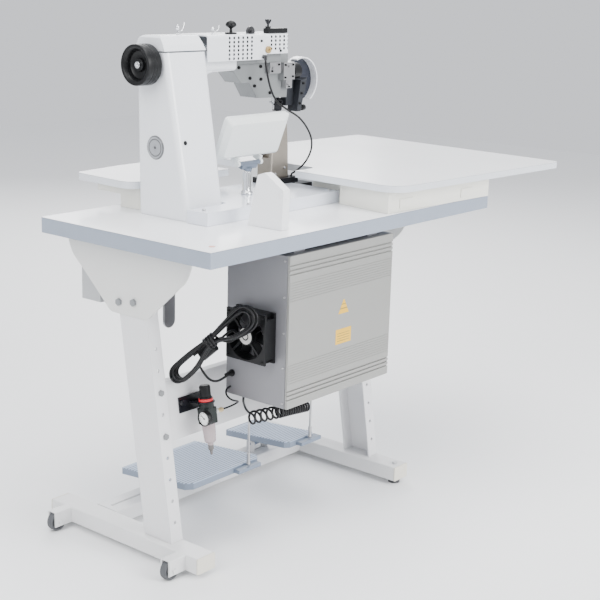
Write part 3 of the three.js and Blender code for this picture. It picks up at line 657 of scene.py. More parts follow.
WHITE = ColumnEnamel("white_enamel", (0.80, 0.82, 0.85), 0.22, coat=0.5, edge=0.003, **ENAMEL)
HOOD = HoodPaint("hood_paint", (0.76, 0.78, 0.81), 0.28, coat=0.35, mottle=0.02, grain=0.03,
                 grain_scale=200.0)
LID = LidPaint("lid_paint", (0.80, 0.82, 0.85), 0.25, coat=0.4, edge=0.003, **ENAMEL)
BED = Finish("bed_paint", (0.74, 0.77, 0.84), 0.22, coat=0.5, edge=0.002, **ENAMEL)
STAND = FootCoat("stand_coat", (0.72, 0.72, 0.72), 0.42, mottle=0.03, **POWDER)
CHANNEL = DrilledCoat("channel_coat", (0.73, 0.73, 0.74), 0.42, mottle=0.03, **POWDER)
BEAM = Finish("beam_coat", (0.70, 0.70, 0.71), 0.42, mottle=0.03, **POWDER)
PLATE_R = PlateCoat("plate_coat_right", (0.68, 0.68, 0.66), 0.45, outer=at_x(475.0), **POWDER)
PLATE_L = PlateCoat("plate_coat_left", (0.68, 0.68, 0.66), 0.45, outer=at_x(-345.0), side=-1.0, **POWDER)
TOP = Laminate("table_laminate", (0.86, 0.87, 0.89), 0.20, mottle=0.012, grain=0.03, grain_scale=900.0)
BOARD = Laminate("board_laminate", (0.86, 0.87, 0.885), 0.22, mottle=0.012, grain=0.03, top=0.874,
                 band=(0.66, 0.69, 0.73))
CREAM = Finish("support_moulding", (0.78, 0.77, 0.70), 0.45, mottle=0.03, grain=0.08)
TREADLE = TreadleCoat("treadle_coat", (0.20, 0.245, 0.32), 0.5, mottle=0.07, mottle_scale=20.0, grain=0.25,
                      grain_scale=500.0)
STEEL = Brushed("bright_steel", (0.46, 0.46, 0.47), 0.30, 1.0, mottle=0.08, stretch=(1.0, 1.0, 0.05),
                grain=0.10)
POST = Brushed("post_steel", (0.30, 0.27, 0.23), 0.34, 0.8, mottle=0.09, stretch=(1.0, 1.0, 0.04), grain=0.14)
CHROME = Finish("chrome", (0.78, 0.79, 0.81), 0.08, 1.0, mottle=0.02, grain=0.01)
CASE = Brushed("case_aluminium", (0.235, 0.235, 0.25), 0.45, 0.5, mottle=0.05, stretch=(0.04, 1.0, 1.0),
               grain=0.10)
PANEL_AL = Brushed("panel_aluminium", (0.31, 0.31, 0.295), 0.42, 0.5, mottle=0.05, stretch=(0.04, 1.0, 1.0),
                   grain=0.12, edge=0.0005)
BLOCK = Brushed("block_aluminium", (0.42, 0.42, 0.425), 0.30, 0.85, mottle=0.06, stretch=(1.0, 1.0, 0.1),
                grain=0.12, edge=0.0006)
HOUSING = Finish("housing_enamel", (0.20, 0.21, 0.212), 0.38, coat=0.15, mottle=0.06, grain=0.10,
                 grain_scale=300.0, edge=0.003)
BLACK = Finish("black_moulding", (0.006, 0.0063, 0.007), 0.36, mottle=0.3, grain=0.10, specular=0.22)
BLACK_PAINT = Finish("black_paint", (0.006, 0.0064, 0.009), 0.32, coat=0.1, mottle=0.25, grain=0.10,
                     specular=0.25)
SLATE = Finish("slate_paint", (0.020, 0.022, 0.027), 0.42, mottle=0.12, grain=0.12, specular=0.35)
GREY = Finish("grey_moulding", (0.40, 0.41, 0.42), 0.45, mottle=0.06, grain=0.10)
YOKE = Finish("yoke_paint", (0.14, 0.17, 0.22), 0.35, 0.3, mottle=0.06, grain=0.10)
PANEL = Finish("panel_moulding", (0.72, 0.75, 0.74), 0.42, mottle=0.02, grain=0.08, grain_scale=700.0,
               edge=0.002)
SCREEN = ScreenGlass("screen_glass", (0.012, 0.016, 0.022), 0.08, coat=0.6, mottle=0.1, grain=0.0)
WEDGE = Finish("wedge_moulding", (0.86, 0.87, 0.88), 0.30, coat=0.2, mottle=0.015, grain=0.05, edge=0.0025)
SHIELD = ShieldPlastic("shield_moulding", (0.76, 0.77, 0.80), 0.28, coat=0.3, mottle=0.02, grain=0.04)
REGULATOR = RegulatorCase("regulator_case", (0.008, 0.012, 0.011), 0.32, mottle=0.2, grain=0.10, specular=0.3)
BOWL = Clear("regulator_bowl", (0.50, 0.42, 0.43), 0.16, mottle=0.04, grain=0.03)
TYRE = Tyre("caster_tyre", (0.075, 0.078, 0.085), 0.6, mottle=0.10, grain=0.15)
CORD = Finish("cord_sheath", (0.005, 0.005, 0.0058), 0.30, mottle=0.3, grain=0.12, grain_scale=900.0,
              edge=0.0, specular=0.3)
BRASS = Finish("brass", (0.66, 0.50, 0.26), 0.25, 1.0, mottle=0.08, grain=0.05, edge=0.0004)
DIAL = Finish("dial_card", (0.86, 0.86, 0.85), 0.35, mottle=0.01, grain=0.02, edge=0.0)
LABEL = Finish("hub_label", (0.62, 0.61, 0.58), 0.4, mottle=0.10, mottle_scale=60.0, grain=0.05, edge=0.0)
RED = Finish("red_plug", (0.70, 0.36, 0.30), 0.4, mottle=0.05, grain=0.05, edge=0.0004)

NODE_FINISHES: dict[str, Finish] = {
    "table_top": TOP, "foot_right": STAND, "foot_left": STAND, "leg_right": CHANNEL, "leg_left": CHANNEL,
    "shoulder_right": PLATE_R, "shoulder_left": PLATE_L, "cross_beam": BEAM, "treadle_rail": BEAM,
    "treadle_large": TREADLE, "treadle_small": TREADLE, "treadle_sensor": BLACK_PAINT,
    "pull_rod_large": STEEL, "pull_rod_small": STEEL, "control_box": CASE, "control_panel": PANEL_AL,
    "fan_frame": BLACK, "fan_rotor": BLACK, "power_switch_box": GREY, "knee_plate": STEEL,
    "regulator_bracket": BLACK_PAINT, "regulator_body": REGULATOR, "regulator_bowl": BOWL,
    "column_casting": WHITE, "arm_lid": LID, "arm_hood": HOOD, "needle_housing": HOUSING,
    "needle_bar": CHROME, "presser_foot": BLACK_PAINT, "guide_block": BLOCK, "guide_motor": BLACK,
    "guide_shield": SHIELD, "guide_arm": SLATE, "thread_guide": BLACK, "wing_screw": BLACK_PAINT,
    "bed_plate": BED, "post_base": BLACK_PAINT, "post_bed": POST, "panel_case": PANEL, "panel_screen": SCREEN,
    "panel_yoke": YOKE, "wedge_cover": WEDGE, "board_right": BOARD, "board_left": BOARD,
    "support_right": CREAM, "support_left": CREAM, "mains_plug": BLACK,
}


class Wardrobe:
    """Builds each finish once and dresses pieces with it."""

    def __init__(self) -> None:
        """Start with no materials made."""
        self.made: dict[str, bpy.types.Material] = {}

    def material(self, finish: Finish) -> bpy.types.Material:
        """Give the finish's material, made on first use.

        Args:
            finish: the finish.

        Returns:
            Its material.
        """
        if finish.name not in self.made:
            self.made[finish.name] = finish.build()
        return self.made[finish.name]

    def dress(self, piece: bpy.types.Object, finish: Finish) -> None:
        """Put one finish on a piece, in place of all it had."""
        piece.data.materials.clear()
        piece.data.materials.append(self.material(finish))


# ------------------------------------------------------------------ surfaces
class Axis(Enum):
    """The axis that a turned piece stands on."""

    X = "x"
    Y = "y"
    Z = "z"


Surface = tuple[np.ndarray, list]


def turned(axis: Axis, profile: list, centre: np.ndarray, sides: int = 48) -> Surface:
    """Surface of revolution: each profile point (radius, distance) goes round the axis.

    Args:
        axis: the axis of the piece.
        profile: (radius, distance along the axis) in millimetres, outside face to the left of travel.
        centre: the origin of the distances, in the frame.
        sides: steps round the axis.

    Returns:
        Vertices and faces.
    """
    radius, along = np.array(profile, dtype=float).T / 1000.0
    angle = np.arange(sides) * 2.0 * np.pi / sides
    a = radius[:, None] * np.cos(angle)
    b = radius[:, None] * np.sin(angle)
    s = np.broadcast_to(along[:, None], a.shape)
    order = {Axis.X: (s, a, b), Axis.Y: (b, s, a), Axis.Z: (a, b, s)}[axis]
    points = np.stack(order, axis=-1).reshape(-1, 3) + centre
    return points, grid_faces(len(profile), sides)


def grid_faces(rows: int, columns: int) -> list:
    """Quads of a grid that is closed across its columns.

    Args:
        rows: rings of the grid.
        columns: points in each ring.

    Returns:
        The faces as lists of vertex numbers.
    """
    row, column = np.meshgrid(np.arange(rows - 1), np.arange(columns), indexing="ij")
    here = row * columns + column
    beside = row * columns + (column + 1) % columns
    faces = np.stack([here, beside, beside + columns, here + columns], axis=-1)
    return faces.reshape(-1, 4).tolist()


def merged(parts: list) -> Surface:
    """Put several surfaces into one.

    Args:
        parts: the surfaces.

    Returns:
        One surface with the vertices and faces of all.
    """
    points, faces, start = [], [], 0
    for verts, quads in parts:
        points.append(verts)
        faces.extend([[i + start for i in quad] for quad in quads])
        start += len(verts)
    return np.concatenate(points), faces


def tilted(surface: Surface, angle: float, pivot: np.ndarray) -> Surface:
    """Turn a surface about the X axis through a pivot.

    Args:
        surface: vertices and faces.
        angle: in radians.
        pivot: a point on the axis of the turn, in the frame.

    Returns:
        The turned surface.
    """
    points, faces = surface
    c, s = math.cos(angle), math.sin(angle)
    turn = np.array([[1.0, 0.0, 0.0], [0.0, c, -s], [0.0, s, c]])
    return (points - pivot) @ turn.T + pivot, faces


def slab(outline: np.ndarray, start: np.ndarray, depth: np.ndarray) -> Surface:
    """A flat outline drawn out along a direction: two end faces and a wall between them.

    Args:
        outline: points of the flat outline, in order.
        start: added to every point.
        depth: the direction and distance that it is drawn out.

    Returns:
        Vertices and faces.
    """
    near = outline + start
    far = near + depth
    count = len(outline)
    faces = grid_faces(2, count)
    faces.append(list(range(count))[::-1])
    faces.append(list(range(count, 2 * count)))
    return np.concatenate([near, far]), faces


def rod(path: np.ndarray, radius: float, sides: int = 10) -> Surface:
    """A closed round rod along a path: rings square to the path, with a point at each end.

    Args:
        path: points of the centre line, in the frame.
        radius: in metres.
        sides: steps round the rod.

    Returns:
        Vertices and faces.
    """
    ahead = np.gradient(path, axis=0)
    ahead /= np.linalg.norm(ahead, axis=1)[:, None]
    first = np.cross(ahead, [0.0, 1.0, 0.0])
    first /= np.linalg.norm(first, axis=1)[:, None]
    second = np.cross(ahead, first)
    angle = np.arange(sides) * 2.0 * np.pi / sides
    ring = np.cos(angle)[None, :, None] * first[:, None] + np.sin(angle)[None, :, None] * second[:, None]
    rings = path[:, None] + radius * ring
    start = np.repeat(path[:1, None], sides, axis=1)
    end = np.repeat(path[-1:, None], sides, axis=1)
    points = np.concatenate([start, rings, end]).reshape(-1, 3)
    return points, grid_faces(len(path) + 2, sides)


class Maker:
    """Makes Blender pieces from surfaces and routes, dresses them and lets them ride."""

    def __init__(self, wardrobe: Wardrobe) -> None:
        """Keep the wardrobe that dresses the pieces."""
        self.wardrobe = wardrobe

    def piece(self, name: str, surface: Surface, finish: Finish, body: str, slot: str = "",
              replaces: tuple = (), smooth: bool = True) -> bpy.types.Object:
        """Make a mesh piece.

        Args:
            name: the piece's name.
            surface: vertices and faces.
            finish: what it is dressed with.
            body: the body it rides on.
            slot: the record's material slot, if it has one.
            replaces: frame nodes that it stands for.
            smooth: whether faces under 35 degrees apart are shaded as one.

        Returns:
            The new object.
        """
        mesh = bpy.data.meshes.new(name)
        mesh.from_pydata(surface[0].tolist(), [], surface[1])
        made = bpy.data.objects.new(name, mesh)
        bpy.context.scene.collection.objects.link(made)
        self.tidy(mesh)
        if smooth:
            mesh.shade_smooth()
            mesh.set_sharp_from_angle(angle=math.radians(35.0))
        self.finish(made, finish, body, slot, replaces)
        return made

    def tidy(self, mesh: bpy.types.Mesh) -> None:
        """Join points at the poles, drop empty faces and turn all faces outwards.

        Args:
            mesh: the mesh, changed in place.
        """
        work = bmesh.new()
        work.from_mesh(mesh)
        bmesh.ops.remove_doubles(work, verts=work.verts, dist=1e-6)
        bmesh.ops.dissolve_degenerate(work, edges=work.edges, dist=1e-7)
        bmesh.ops.recalc_face_normals(work, faces=work.faces)
        work.to_mesh(mesh)
        work.free()

    def line(self, name: str, route: np.ndarray, diameter: float, body: str, slot: str,
             replaces: tuple) -> bpy.types.Object:
        """Make a cord as a curve of one open spline with a round section.

        Args:
            name: the piece's name.
            route: points of the centre line, in the frame.
            diameter: in metres.
            body: the body it rides on.
            slot: the record's material slot.
            replaces: frame nodes that it stands for.

        Returns:
            The new object.
        """
        curve = bpy.data.curves.new(name, "CURVE")
        curve.dimensions = "3D"
        curve.bevel_depth = diameter / 2.0
        curve.bevel_resolution = 4
        curve.use_fill_caps = True
        spline = curve.splines.new("POLY")
        spline.points.add(len(route) - 1)
        spline.points.foreach_set("co", np.column_stack([route, np.ones(len(route))]).ravel())
        spline.use_smooth = True
        made = bpy.data.objects.new(name, curve)
        bpy.context.scene.collection.objects.link(made)
        self.finish(made, CORD, body, slot, replaces)
        return made

    def finish(self, made: bpy.types.Object, finish: Finish, body: str, slot: str, replaces: tuple) -> None:
        """Dress a piece, let it ride and hide the frame nodes that it stands for.

        Args:
            made: the piece.
            finish: what it is dressed with.
            body: the body it rides on.
            slot: the record's material slot, or nothing; not used.
            replaces: frame nodes that it stands for.
        """
        self.wardrobe.dress(made, finish)
        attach(made, body)
        if replaces:
            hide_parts(*replaces)
        LOG.info("made %s", made.name)


def smooth_route(points: np.ndarray, step: float = 0.004) -> np.ndarray:
    """A smooth line through the points: a cubic on each span whose slopes come from its neighbours.

    Args:
        points: the points that the line passes through.
        step: the distance between points of the result, in metres.

    Returns:
        The points of the line, evenly spaced.
    """
    gaps = np.linalg.norm(np.diff(points, axis=0), axis=1) ** 0.5
    knots = np.concatenate([[0.0], np.cumsum(gaps)])
    slopes = np.gradient(points, knots, axis=0)
    where = np.linspace(0.0, knots[-1], 40 * len(points))
    span = np.clip(np.searchsorted(knots, where, side="right") - 1, 0, len(points) - 2)
    width = (knots[span + 1] - knots[span])[:, None]
    t = (where - knots[span])[:, None] / width
    line = (
        (2 * t**3 - 3 * t**2 + 1) * points[span]
        + (t**3 - 2 * t**2 + t) * width * slopes[span]
        + (3 * t**2 - 2 * t**3) * points[span + 1]
        + (t**3 - t**2) * width * slopes[span + 1]
    )
    return evenly(line, step)


def eased(line: np.ndarray, passes: int) -> np.ndarray:
    """Round off the kinks of a line: each pass moves a point towards the mean of its neighbours.

    Args:
        line: points of the line.
        passes: how many times it is smoothed.

    Returns:
        The smoothed points, with the same ends.
    """
    soft = line.copy()
    for _ in range(passes):
        soft[1:-1] = 0.25 * soft[:-2] + 0.5 * soft[1:-1] + 0.25 * soft[2:]
    return soft


def evenly(line: np.ndarray, step: float) -> np.ndarray:
    """Points at even distances along a line.

    Args:
        line: points of the line.
        step: the distance between points of the result, in metres.

    Returns:
        The evenly spaced points.
    """
    run = np.concatenate([[0.0], np.cumsum(np.linalg.norm(np.diff(line, axis=0), axis=1))])
    marks = np.linspace(0.0, run[-1], max(8, int(run[-1] / step)))
    return np.stack([np.interp(marks, run, line[:, k]) for k in range(3)], axis=1)


# ------------------------------------------------------------------ camera, light and floor
@dataclass
class Studio:
    """The camera, the soft lights and the pale floor."""

    eye: tuple = (2466.76, 2089.30, 1373.04)
    yaw: float = -140.69465
    pitch: float = -14.26487
    roll: float = 1.58493
    lens: float = 77.2124
    floor: float = 14.0

    def camera(self) -> None:
        """Stand the camera: forward from yaw and pitch, then rolled about its own line of sight."""
        yaw, pitch, roll = (math.radians(v) for v in (self.yaw, self.pitch, self.roll))
        ahead = np.array([math.cos(pitch) * math.cos(yaw), math.cos(pitch) * math.sin(yaw), math.sin(pitch)])
        side = np.cross(ahead, [0.0, 0.0, 1.0])
        side /= np.linalg.norm(side)
        rise = np.cross(side, ahead)
        right = math.cos(roll) * side + math.sin(roll) * rise
        up = math.cos(roll) * rise - math.sin(roll) * side
        pose = np.eye(4)
        pose[:3, :4] = np.column_stack([right, up, -ahead, place(self.eye)])
        data = bpy.data.cameras.new("camera")
        data.lens = self.lens
        data.sensor_width = 36.0
        data.clip_end = 60.0
        made = bpy.data.objects.new("camera", data)
        made.matrix_world = Matrix(pose.tolist())
        bpy.context.scene.collection.objects.link(made)
        bpy.context.scene.camera = made

    def lamp(self, name: str, spot: tuple, size: float, power: float) -> None:
        """Hang one soft square lamp that faces the machine.

        Args:
            name: the lamp's name.
            spot: where it hangs, in the frame.
            size: its side, in metres.
            power: in watts.
        """
        data = bpy.data.lights.new(name, "AREA")
        data.size = size
        data.energy = power
        made = bpy.data.objects.new(name, data)
        away = np.array(spot) - np.array([0.0, 0.0, 0.7])
        away /= np.linalg.norm(away)
        across = np.cross([0.0, 0.0, 1.0], away)
        width = np.linalg.norm(across)
        across = across / width if width > 1e-6 else np.array([1.0, 0.0, 0.0])
        pose = np.eye(4)
        pose[:3, :4] = np.column_stack([across, np.cross(away, across), away, spot])
        made.matrix_world = Matrix(pose.tolist())
        bpy.context.scene.collection.objects.link(made)

    def build(self) -> None:
        """Set up camera, lamps, surroundings and floor."""
        self.camera()
        self.lamp("lamp_left", (3.6, 0.4, 3.0), 2.6, 130.0)
        self.lamp("lamp_right", (-0.6, 4.2, 2.4), 2.6, 250.0)
        self.lamp("lamp_top", (0.2, 0.3, 4.2), 3.2, 190.0)
        self.lamp("lamp_far", (-2.6, -3.0, 2.8), 2.4, 120.0)
        world = bpy.data.worlds.new("surroundings")
        world.use_nodes = True
        world.node_tree.nodes["Background"].inputs[0].default_value = (0.93, 0.95, 1.0, 1.0)
        world.node_tree.nodes["Background"].inputs[1].default_value = 1.0
        bpy.context.scene.world = world
        half = self.floor / 2.0
        corners = np.array([[-half, -half, 0.0], [half, -half, 0.0], [half, half, 0.0], [-half, half, 0.0]])
        mesh = bpy.data.meshes.new("floor")
        mesh.from_pydata(corners.tolist(), [], [[0, 1, 2, 3]])
        ground = bpy.data.objects.new("floor", mesh)
        bpy.context.scene.collection.objects.link(ground)
        finish = Finish("floor_paper", (0.90, 0.905, 0.91), 0.7, mottle=0.006, grain=0.01, edge=0.0)
        mesh.materials.append(finish.build())


# ------------------------------------------------------------------ cords and hoses
@dataclass
class Cords:
    """Mains lead with its tied hank, head cable, coiled hose and the short hose of the regulator."""

    maker: Maker
    nodes: dict
    mains: float = 0.006
    head: float = 0.005
    hose: float = 0.006
    short: float = 0.0045
    low: np.ndarray = field(default_factory=lambda: np.array([416.0, 26.6, 434.4]))
    high: np.ndarray = field(default_factory=lambda: np.array([344.0, 224.5, 628.2]))
    tie_at: float = 143.0
    tie_off: float = -12.0
    loops: int = 7
    wraps: float = 3.5
    pinch: float = 50.0
    tie_pitch: float = 8.0
    tie_across: float = 16.0
    tie_deep: float = 14.2
    coil_turns: int = 17
    open_turns: float = 5.0
    coil_radius: float = 14.8

    def hank_frame(self) -> tuple[np.ndarray, np.ndarray, np.ndarray, float]:
        """Directions across, along and out of the hank, and its length.

        Returns:
            Across, along and out as unit vectors, and the length in millimetres.
        """
        along = self.high - self.low
        length = float(np.linalg.norm(along))
        along = along / length
        out = np.array([1.0, 0.0, 0.0]) - along * along[0]
        out /= np.linalg.norm(out)
        return np.cross(along, out), along, out, length

    def in_hank(self, u: np.ndarray, v: np.ndarray, w: np.ndarray) -> np.ndarray:
        """Points given across, along and out of the hank, in table millimetres.

        Args:
            u: distances across.
            v: distances along.
            w: distances out.

        Returns:
            The points, in table millimetres.
        """
        across, along, out, _ = self.hank_frame()
        u, v, w = (np.atleast_1d(np.asarray(q, dtype=float))[:, None] for q in (u, v, w))
        return self.low + u * across + v * along + w * out

    def turns(self) -> np.ndarray:
        """Loops of the hank: straight runs between round ends, pinched at the tie, each a little apart.

        A point goes round an arc's centre by its angle, and the centre slides from one end to the other.

        Returns:
            The points of the loops, in table millimetres.
        """
        length = self.hank_frame()[3]
        t = np.linspace(0.0, self.loops, self.loops * 36)
        kind = 0.5 - 0.5 * np.cos(2.0 * np.pi * t * 0.41)
        low, high = 21.0 - 3.0 * kind, 30.0 - 10.0 * kind
        marks = [0.0, 0.1, 0.4, 0.6, 0.9, 1.0]
        angle = np.interp(t % 1.0, marks, np.pi * np.array([0.0, 0.5, 0.5, 1.5, 1.5, 2.0]))
        share = np.interp(t % 1.0, marks, [0.0, 0.0, 1.0, 1.0, 0.0, 0.0])
        start = 3.5 + 12.0 * kind + low
        end = length - 3.5 - 14.0 * kind - high
        radius = low + (high - low) * share
        v = start + (end - start) * share - radius * np.cos(angle)
        pinch = np.exp(-(((v - self.tie_at) / self.pinch) ** 2))
        u = self.tie_off * pinch + radius * np.sin(angle) * (1.0 - 0.7 * pinch)
        w = -9.5 * np.sin(2.0 * np.pi * t / self.loops + 0.9) * (1.0 - 0.3 * pinch)
        return self.in_hank(u, v, w)

    def tie(self) -> np.ndarray:
        """Wraps of the cord round its own bundle: a close screw line at the bundle's waist.

        Returns:
            The points of the wraps, in table millimetres.
        """
        t = np.linspace(0.0, self.wraps, int(self.wraps * 18))
        angle = 2.0 * np.pi * t + np.pi / 2.0
        v = self.tie_at + self.tie_pitch * (t - self.wraps / 2.0) + 2.5 * np.sin(angle)
        return self.in_hank(self.tie_off + self.tie_across * np.cos(angle), v, self.tie_deep * np.sin(angle))

    def mains_cord(self) -> None:
        """One cord: out of the box's side, over the beam, through the hank, round it and into its plug."""
        lead = np.array([
            [290.6, 104, 441], [302, 104, 440], [313, 102, 435], [324, 98, 429], [336, 94, 427],
            [348, 90, 431], [357, 85, 440], [363, 79, 452], [367, 73, 464], [373, 71, 474],
        ])
        entry = self.in_hank(4.0, 84.0, -15.0)
        tail = self.in_hank([6.0, 14.0, 6.0, -6.0, -12.0, -12.0, -12.0],
                            [166.0, 182.0, 196.0, 196.0, 182.0, 166.0, 154.0],
                            [-20.0, -26.0, -31.0, -33.0, -33.0, -33.0, -33.0])
        route = np.concatenate([lead, entry, self.turns()[8:-12], self.tie(), tail])
        line = evenly(eased(smooth_route(place(route)), 8), 0.004)
        cord = self.maker.line("mains_cord", line, self.mains, "machine", "cord",
                               ("mains_lead", "mains_hank"))
        relief = self.strain_relief(place(lead[0]))

    def strain_relief(self, centre: np.ndarray) -> bpy.types.Object:
        """Ribbed taper round the mains cord where it leaves the box: radius falls evenly along 24 mm.

        Args:
            centre: the middle of the cord's exit, in the frame.

        Returns:
            The new piece.
        """
        ribs = [(8.6, 0.0), (8.6, 2.4)]
        for k in range(5):
            radius, start = 6.4 - 0.55 * k, 2.6 + 4.3 * k
            ribs += [(radius, start), (radius - 0.1, start + 2.6), (radius - 1.1, start + 3.0),
                     (radius - 1.1, start + 4.1)]
        profile = [(0.0, 0.0)] + ribs + [(3.2, 24.0), (0.0, 24.0)]
        surface = turned(Axis.X, profile, centre - np.array([0.0002, 0.0, 0.0]), 32)
        return self.maker.piece("strain_relief", surface, BLACK, "machine", "cord")

    def head_cord(self) -> None:
        """Thin cable in a free bow from the hood's clip to the foot of the post."""
        route = np.array([
            [6, -58, 1158.5], [5, -54, 1134], [-6, -50, 1090], [-26, -47, 1058], [-60, -44, 1036],
            [-112, -41, 1009], [-144, -40, 980], [-164, -41, 950], [-170, -46, 920], [-166, -62, 886],
            [-154, -82, 862], [-148, -93, 853], [-148, -93, 846.3],
        ])
        line = smooth_route(place(route))
        cord = self.maker.line("head_cord", line, self.head, "machine", "cord", ("head_cable",))

    def coiled_hose(self) -> None:
        """Hose down from the box, a screw line with five open turns and then close ones, and up again."""
        t = np.linspace(0.0, self.coil_turns, self.coil_turns * 18)
        pitch = np.where(t < self.open_turns, 22.0, 9.5)
        x = 226.0 - np.concatenate([[0.0], np.cumsum(np.diff(t) * pitch[1:])])
        z = 309.0 - (226.0 - x) * 0.093
        angle = 2.0 * np.pi * t
        swing = self.coil_radius - 0.8 * np.clip((t - self.open_turns) / 4.0, 0.0, 1.0)
        coil = np.stack([x, 104.0 + swing * np.sin(angle), z + swing * np.cos(angle)], axis=1)
        drop = np.array([[266, 120, 387.5], [266, 120, 376], [262, 116, 366], [250, 108, 352],
                         [238, 104, 336]])
        end_x = float(x[-1])
        rise = np.array([[end_x - 9.0, 106, 300], [end_x - 14.0, 110, 330], [end_x - 15.0, 112, 360],
                         [end_x - 15.0, 112, 387.5]])
        line = smooth_route(place(np.concatenate([drop, coil, rise])))
        cord = self.maker.line("coiled_hose", line, self.hose, "machine", "hose", ("coil_hose", "air_hose"))

    def regulator_hose(self) -> None:
        """Short hose in a bow from the regulator to the box's side."""
        route = np.array([
            [293.6, 76.9, 343.5], [284, 77, 343.5], [274, 80, 345], [266, 87, 350], [264, 97, 357],
            [270, 107, 364], [282, 113, 370], [296, 115, 375], [308, 113, 382], [313, 107, 391],
            [309, 101, 400], [300, 99, 405], [290.8, 99, 406],
        ])
        line = evenly(eased(smooth_route(place(route), 0.003), 6), 0.003)
        cord = self.maker.line("regulator_hose", line, self.short, "machine", "hose", ())

    def build(self) -> None:
        """Lay every cord and hose."""
        self.mains_cord()
        self.head_cord()
        self.coiled_hose()
        self.regulator_hose()


# ------------------------------------------------------------------ round pieces
@dataclass
class DriveWheel:
    """Handwheel: a black dished wheel with a bright hub bolt."""

    maker: Maker
    centre: np.ndarray = field(default_factory=lambda: place([348.0, -117.0, 1157.0]))

    def build(self) -> None:
        """Turn the wheel and its bolt."""
        profile = [(0, -21), (8.6, -21), (8.6, 8), (20, 8), (20.5, 8.6), (20.5, 15.5), (21, 16), (39, 16),
                   (41, 14), (44, 6.6), (45, 6), (47, 6), (48, 7), (48, 20), (47.2, 21), (47.2, 23), (48, 24),
                   (48, 30), (47.2, 31), (47.2, 33), (48, 34), (48, 45), (47.4, 47), (46, 48), (42, 48),
                   (40, 47), (36, 43), (34, 38), (32, 31), (30, 29.5), (18, 26.5), (16, 27), (15, 29),
                   (14.6, 34), (14, 35), (9.5, 35), (9, 35.5), (9, 36), (0, 36)]
        self.maker.piece("wheel", turned(Axis.X, profile, self.centre, 72), BLACK, "handwheel",
                         "black_plastic", ("handwheel",))
        bolt = [(0, 36), (8, 36), (8, 40.5), (7.2, 41.2), (4, 41.2), (3.8, 38.5), (0, 38.5)]
        self.maker.piece("wheel_bolt", turned(Axis.X, bolt, self.centre, 32), CHROME, "handwheel", "steel")


@dataclass
class Casters:
    """Two wheels with grooved hubs."""

    maker: Maker

    def build(self) -> None:
        """Turn both wheels."""
        half = [(5.4, -9), (6, -9), (13, -9), (14, -7), (18, -7), (18.8, -8.6), (19.4, -9), (22.4, -9),
                (24.2, -7.6), (25, -5)]
        profile = half + [(r, -s) for r, s in reversed(half)] + [(5.4, -9)]
        for name, y in (("caster_back", 135.5), ("caster_front", -265.5)):
            surface = turned(Axis.Y, profile, place([530.0, y, 25.0]), 56)
            self.maker.piece(f"{name}_wheel", surface, TYRE, name, "tyre", (name,))


@dataclass
class Regulator:
    """Knob, gauge with its dial and the adjusting ribs of the air regulator."""

    maker: Maker
    reach: float = 44.0
    hub: np.ndarray = field(default_factory=lambda: place([350.0, 33.652, 361.0]))

    def spot(self, x: float, y: float, z: float) -> np.ndarray:
        """A point of the upright unit, before it leans."""
        return self.hub + np.array([x, y, z]) / 1000.0

    def lean(self, surface: Surface) -> Surface:
        """Lean a surface with the stand."""
        return tilted(surface, LEAN, self.hub)

    def knob(self) -> None:
        """Ribbed knob: its radius goes up and down twenty-four times round."""
        points, faces = turned(Axis.Z, [(0, 17.3), (15.2, 17.3), (15.5, 18), (15.5, 20), (13.6, 22),
                                        (13.6, 44), (13, 47), (11.5, 49), (0, 49)],
                               self.spot(0, self.reach, 0), 96)
        centre = self.spot(0, self.reach, 0)
        flat = points[:, :2] - centre[:2]
        radius = np.linalg.norm(flat, axis=1)
        ribbed = (radius > 0.0125) & (radius < 0.0138)
        angle = np.arctan2(flat[:, 1], flat[:, 0])
        scale = np.where(ribbed, 1.0 - 0.035 * (0.5 + 0.5 * np.cos(24.0 * angle)), 1.0)
        points[:, :2] = centre[:2] + flat * scale[:, None]
        self.maker.piece("pressure_knob", self.lean((points, faces)), BLACK, "regulator_knob",
                         "black_plastic", ("regulator_knob",))

    def gauge(self) -> None:
        """Round gauge with a pale card, short marks round its rim and a thin pointer."""
        centre = self.spot(0, self.reach + 17, -25)
        rim = [(0, 18.4), (17, 18.4), (18.5, 20), (18.5, 32), (18, 33), (16.6, 33), (16.2, 32.4), (16.2, 29),
               (0, 29)]
        self.maker.piece("gauge_case", self.lean(turned(Axis.X, rim, centre, 56)), BLACK, "machine",
                         "black_plastic", ("regulator_gauge",))
        card = [(0, 29.1), (16.1, 29.1), (16.1, 29.6), (0, 29.6)]
        self.maker.piece("gauge_card", self.lean(turned(Axis.X, card, centre, 48)), DIAL, "machine")
        marks = [self.mark(centre, a, 11.8, 14.8, 0.6) for a in np.linspace(-2.3, 2.3, 13)]
        marks.append(self.mark(centre, -0.9, -4.0, 11.5, 0.8))
        marks.append(turned(Axis.X, [(0, 29.6), (2, 29.6), (2, 30.4), (0, 30.6)], centre, 16))
        self.maker.piece("gauge_marks", self.lean(merged(marks)), BLACK, "machine", smooth=False)

    def mark(self, centre: np.ndarray, angle: float, inner: float, outer: float, half: float) -> Surface:
        """One thin bar on the card, from an inner to an outer radius.

        Args:
            centre: the gauge's centre, in the frame.
            angle: from the top, in radians.
            inner: radius of the near end, in millimetres.
            outer: radius of the far end, in millimetres.
            half: half the bar's width, in millimetres.

        Returns:
            Vertices and faces.
        """
        out = np.array([0.0, math.sin(angle), math.cos(angle)]) / 1000.0
        side = np.array([0.0, math.cos(angle), -math.sin(angle)]) / 1000.0
        corners = np.array([inner * out - half * side, outer * out - half * side, outer * out + half * side,
                            inner * out + half * side])
        return slab(corners, centre + np.array([0.0296, 0.0, 0.0]), np.array([0.0004, 0.0, 0.0]))

    def build(self) -> None:
        """Make the knob and the gauge."""
        self.knob()
        self.gauge()


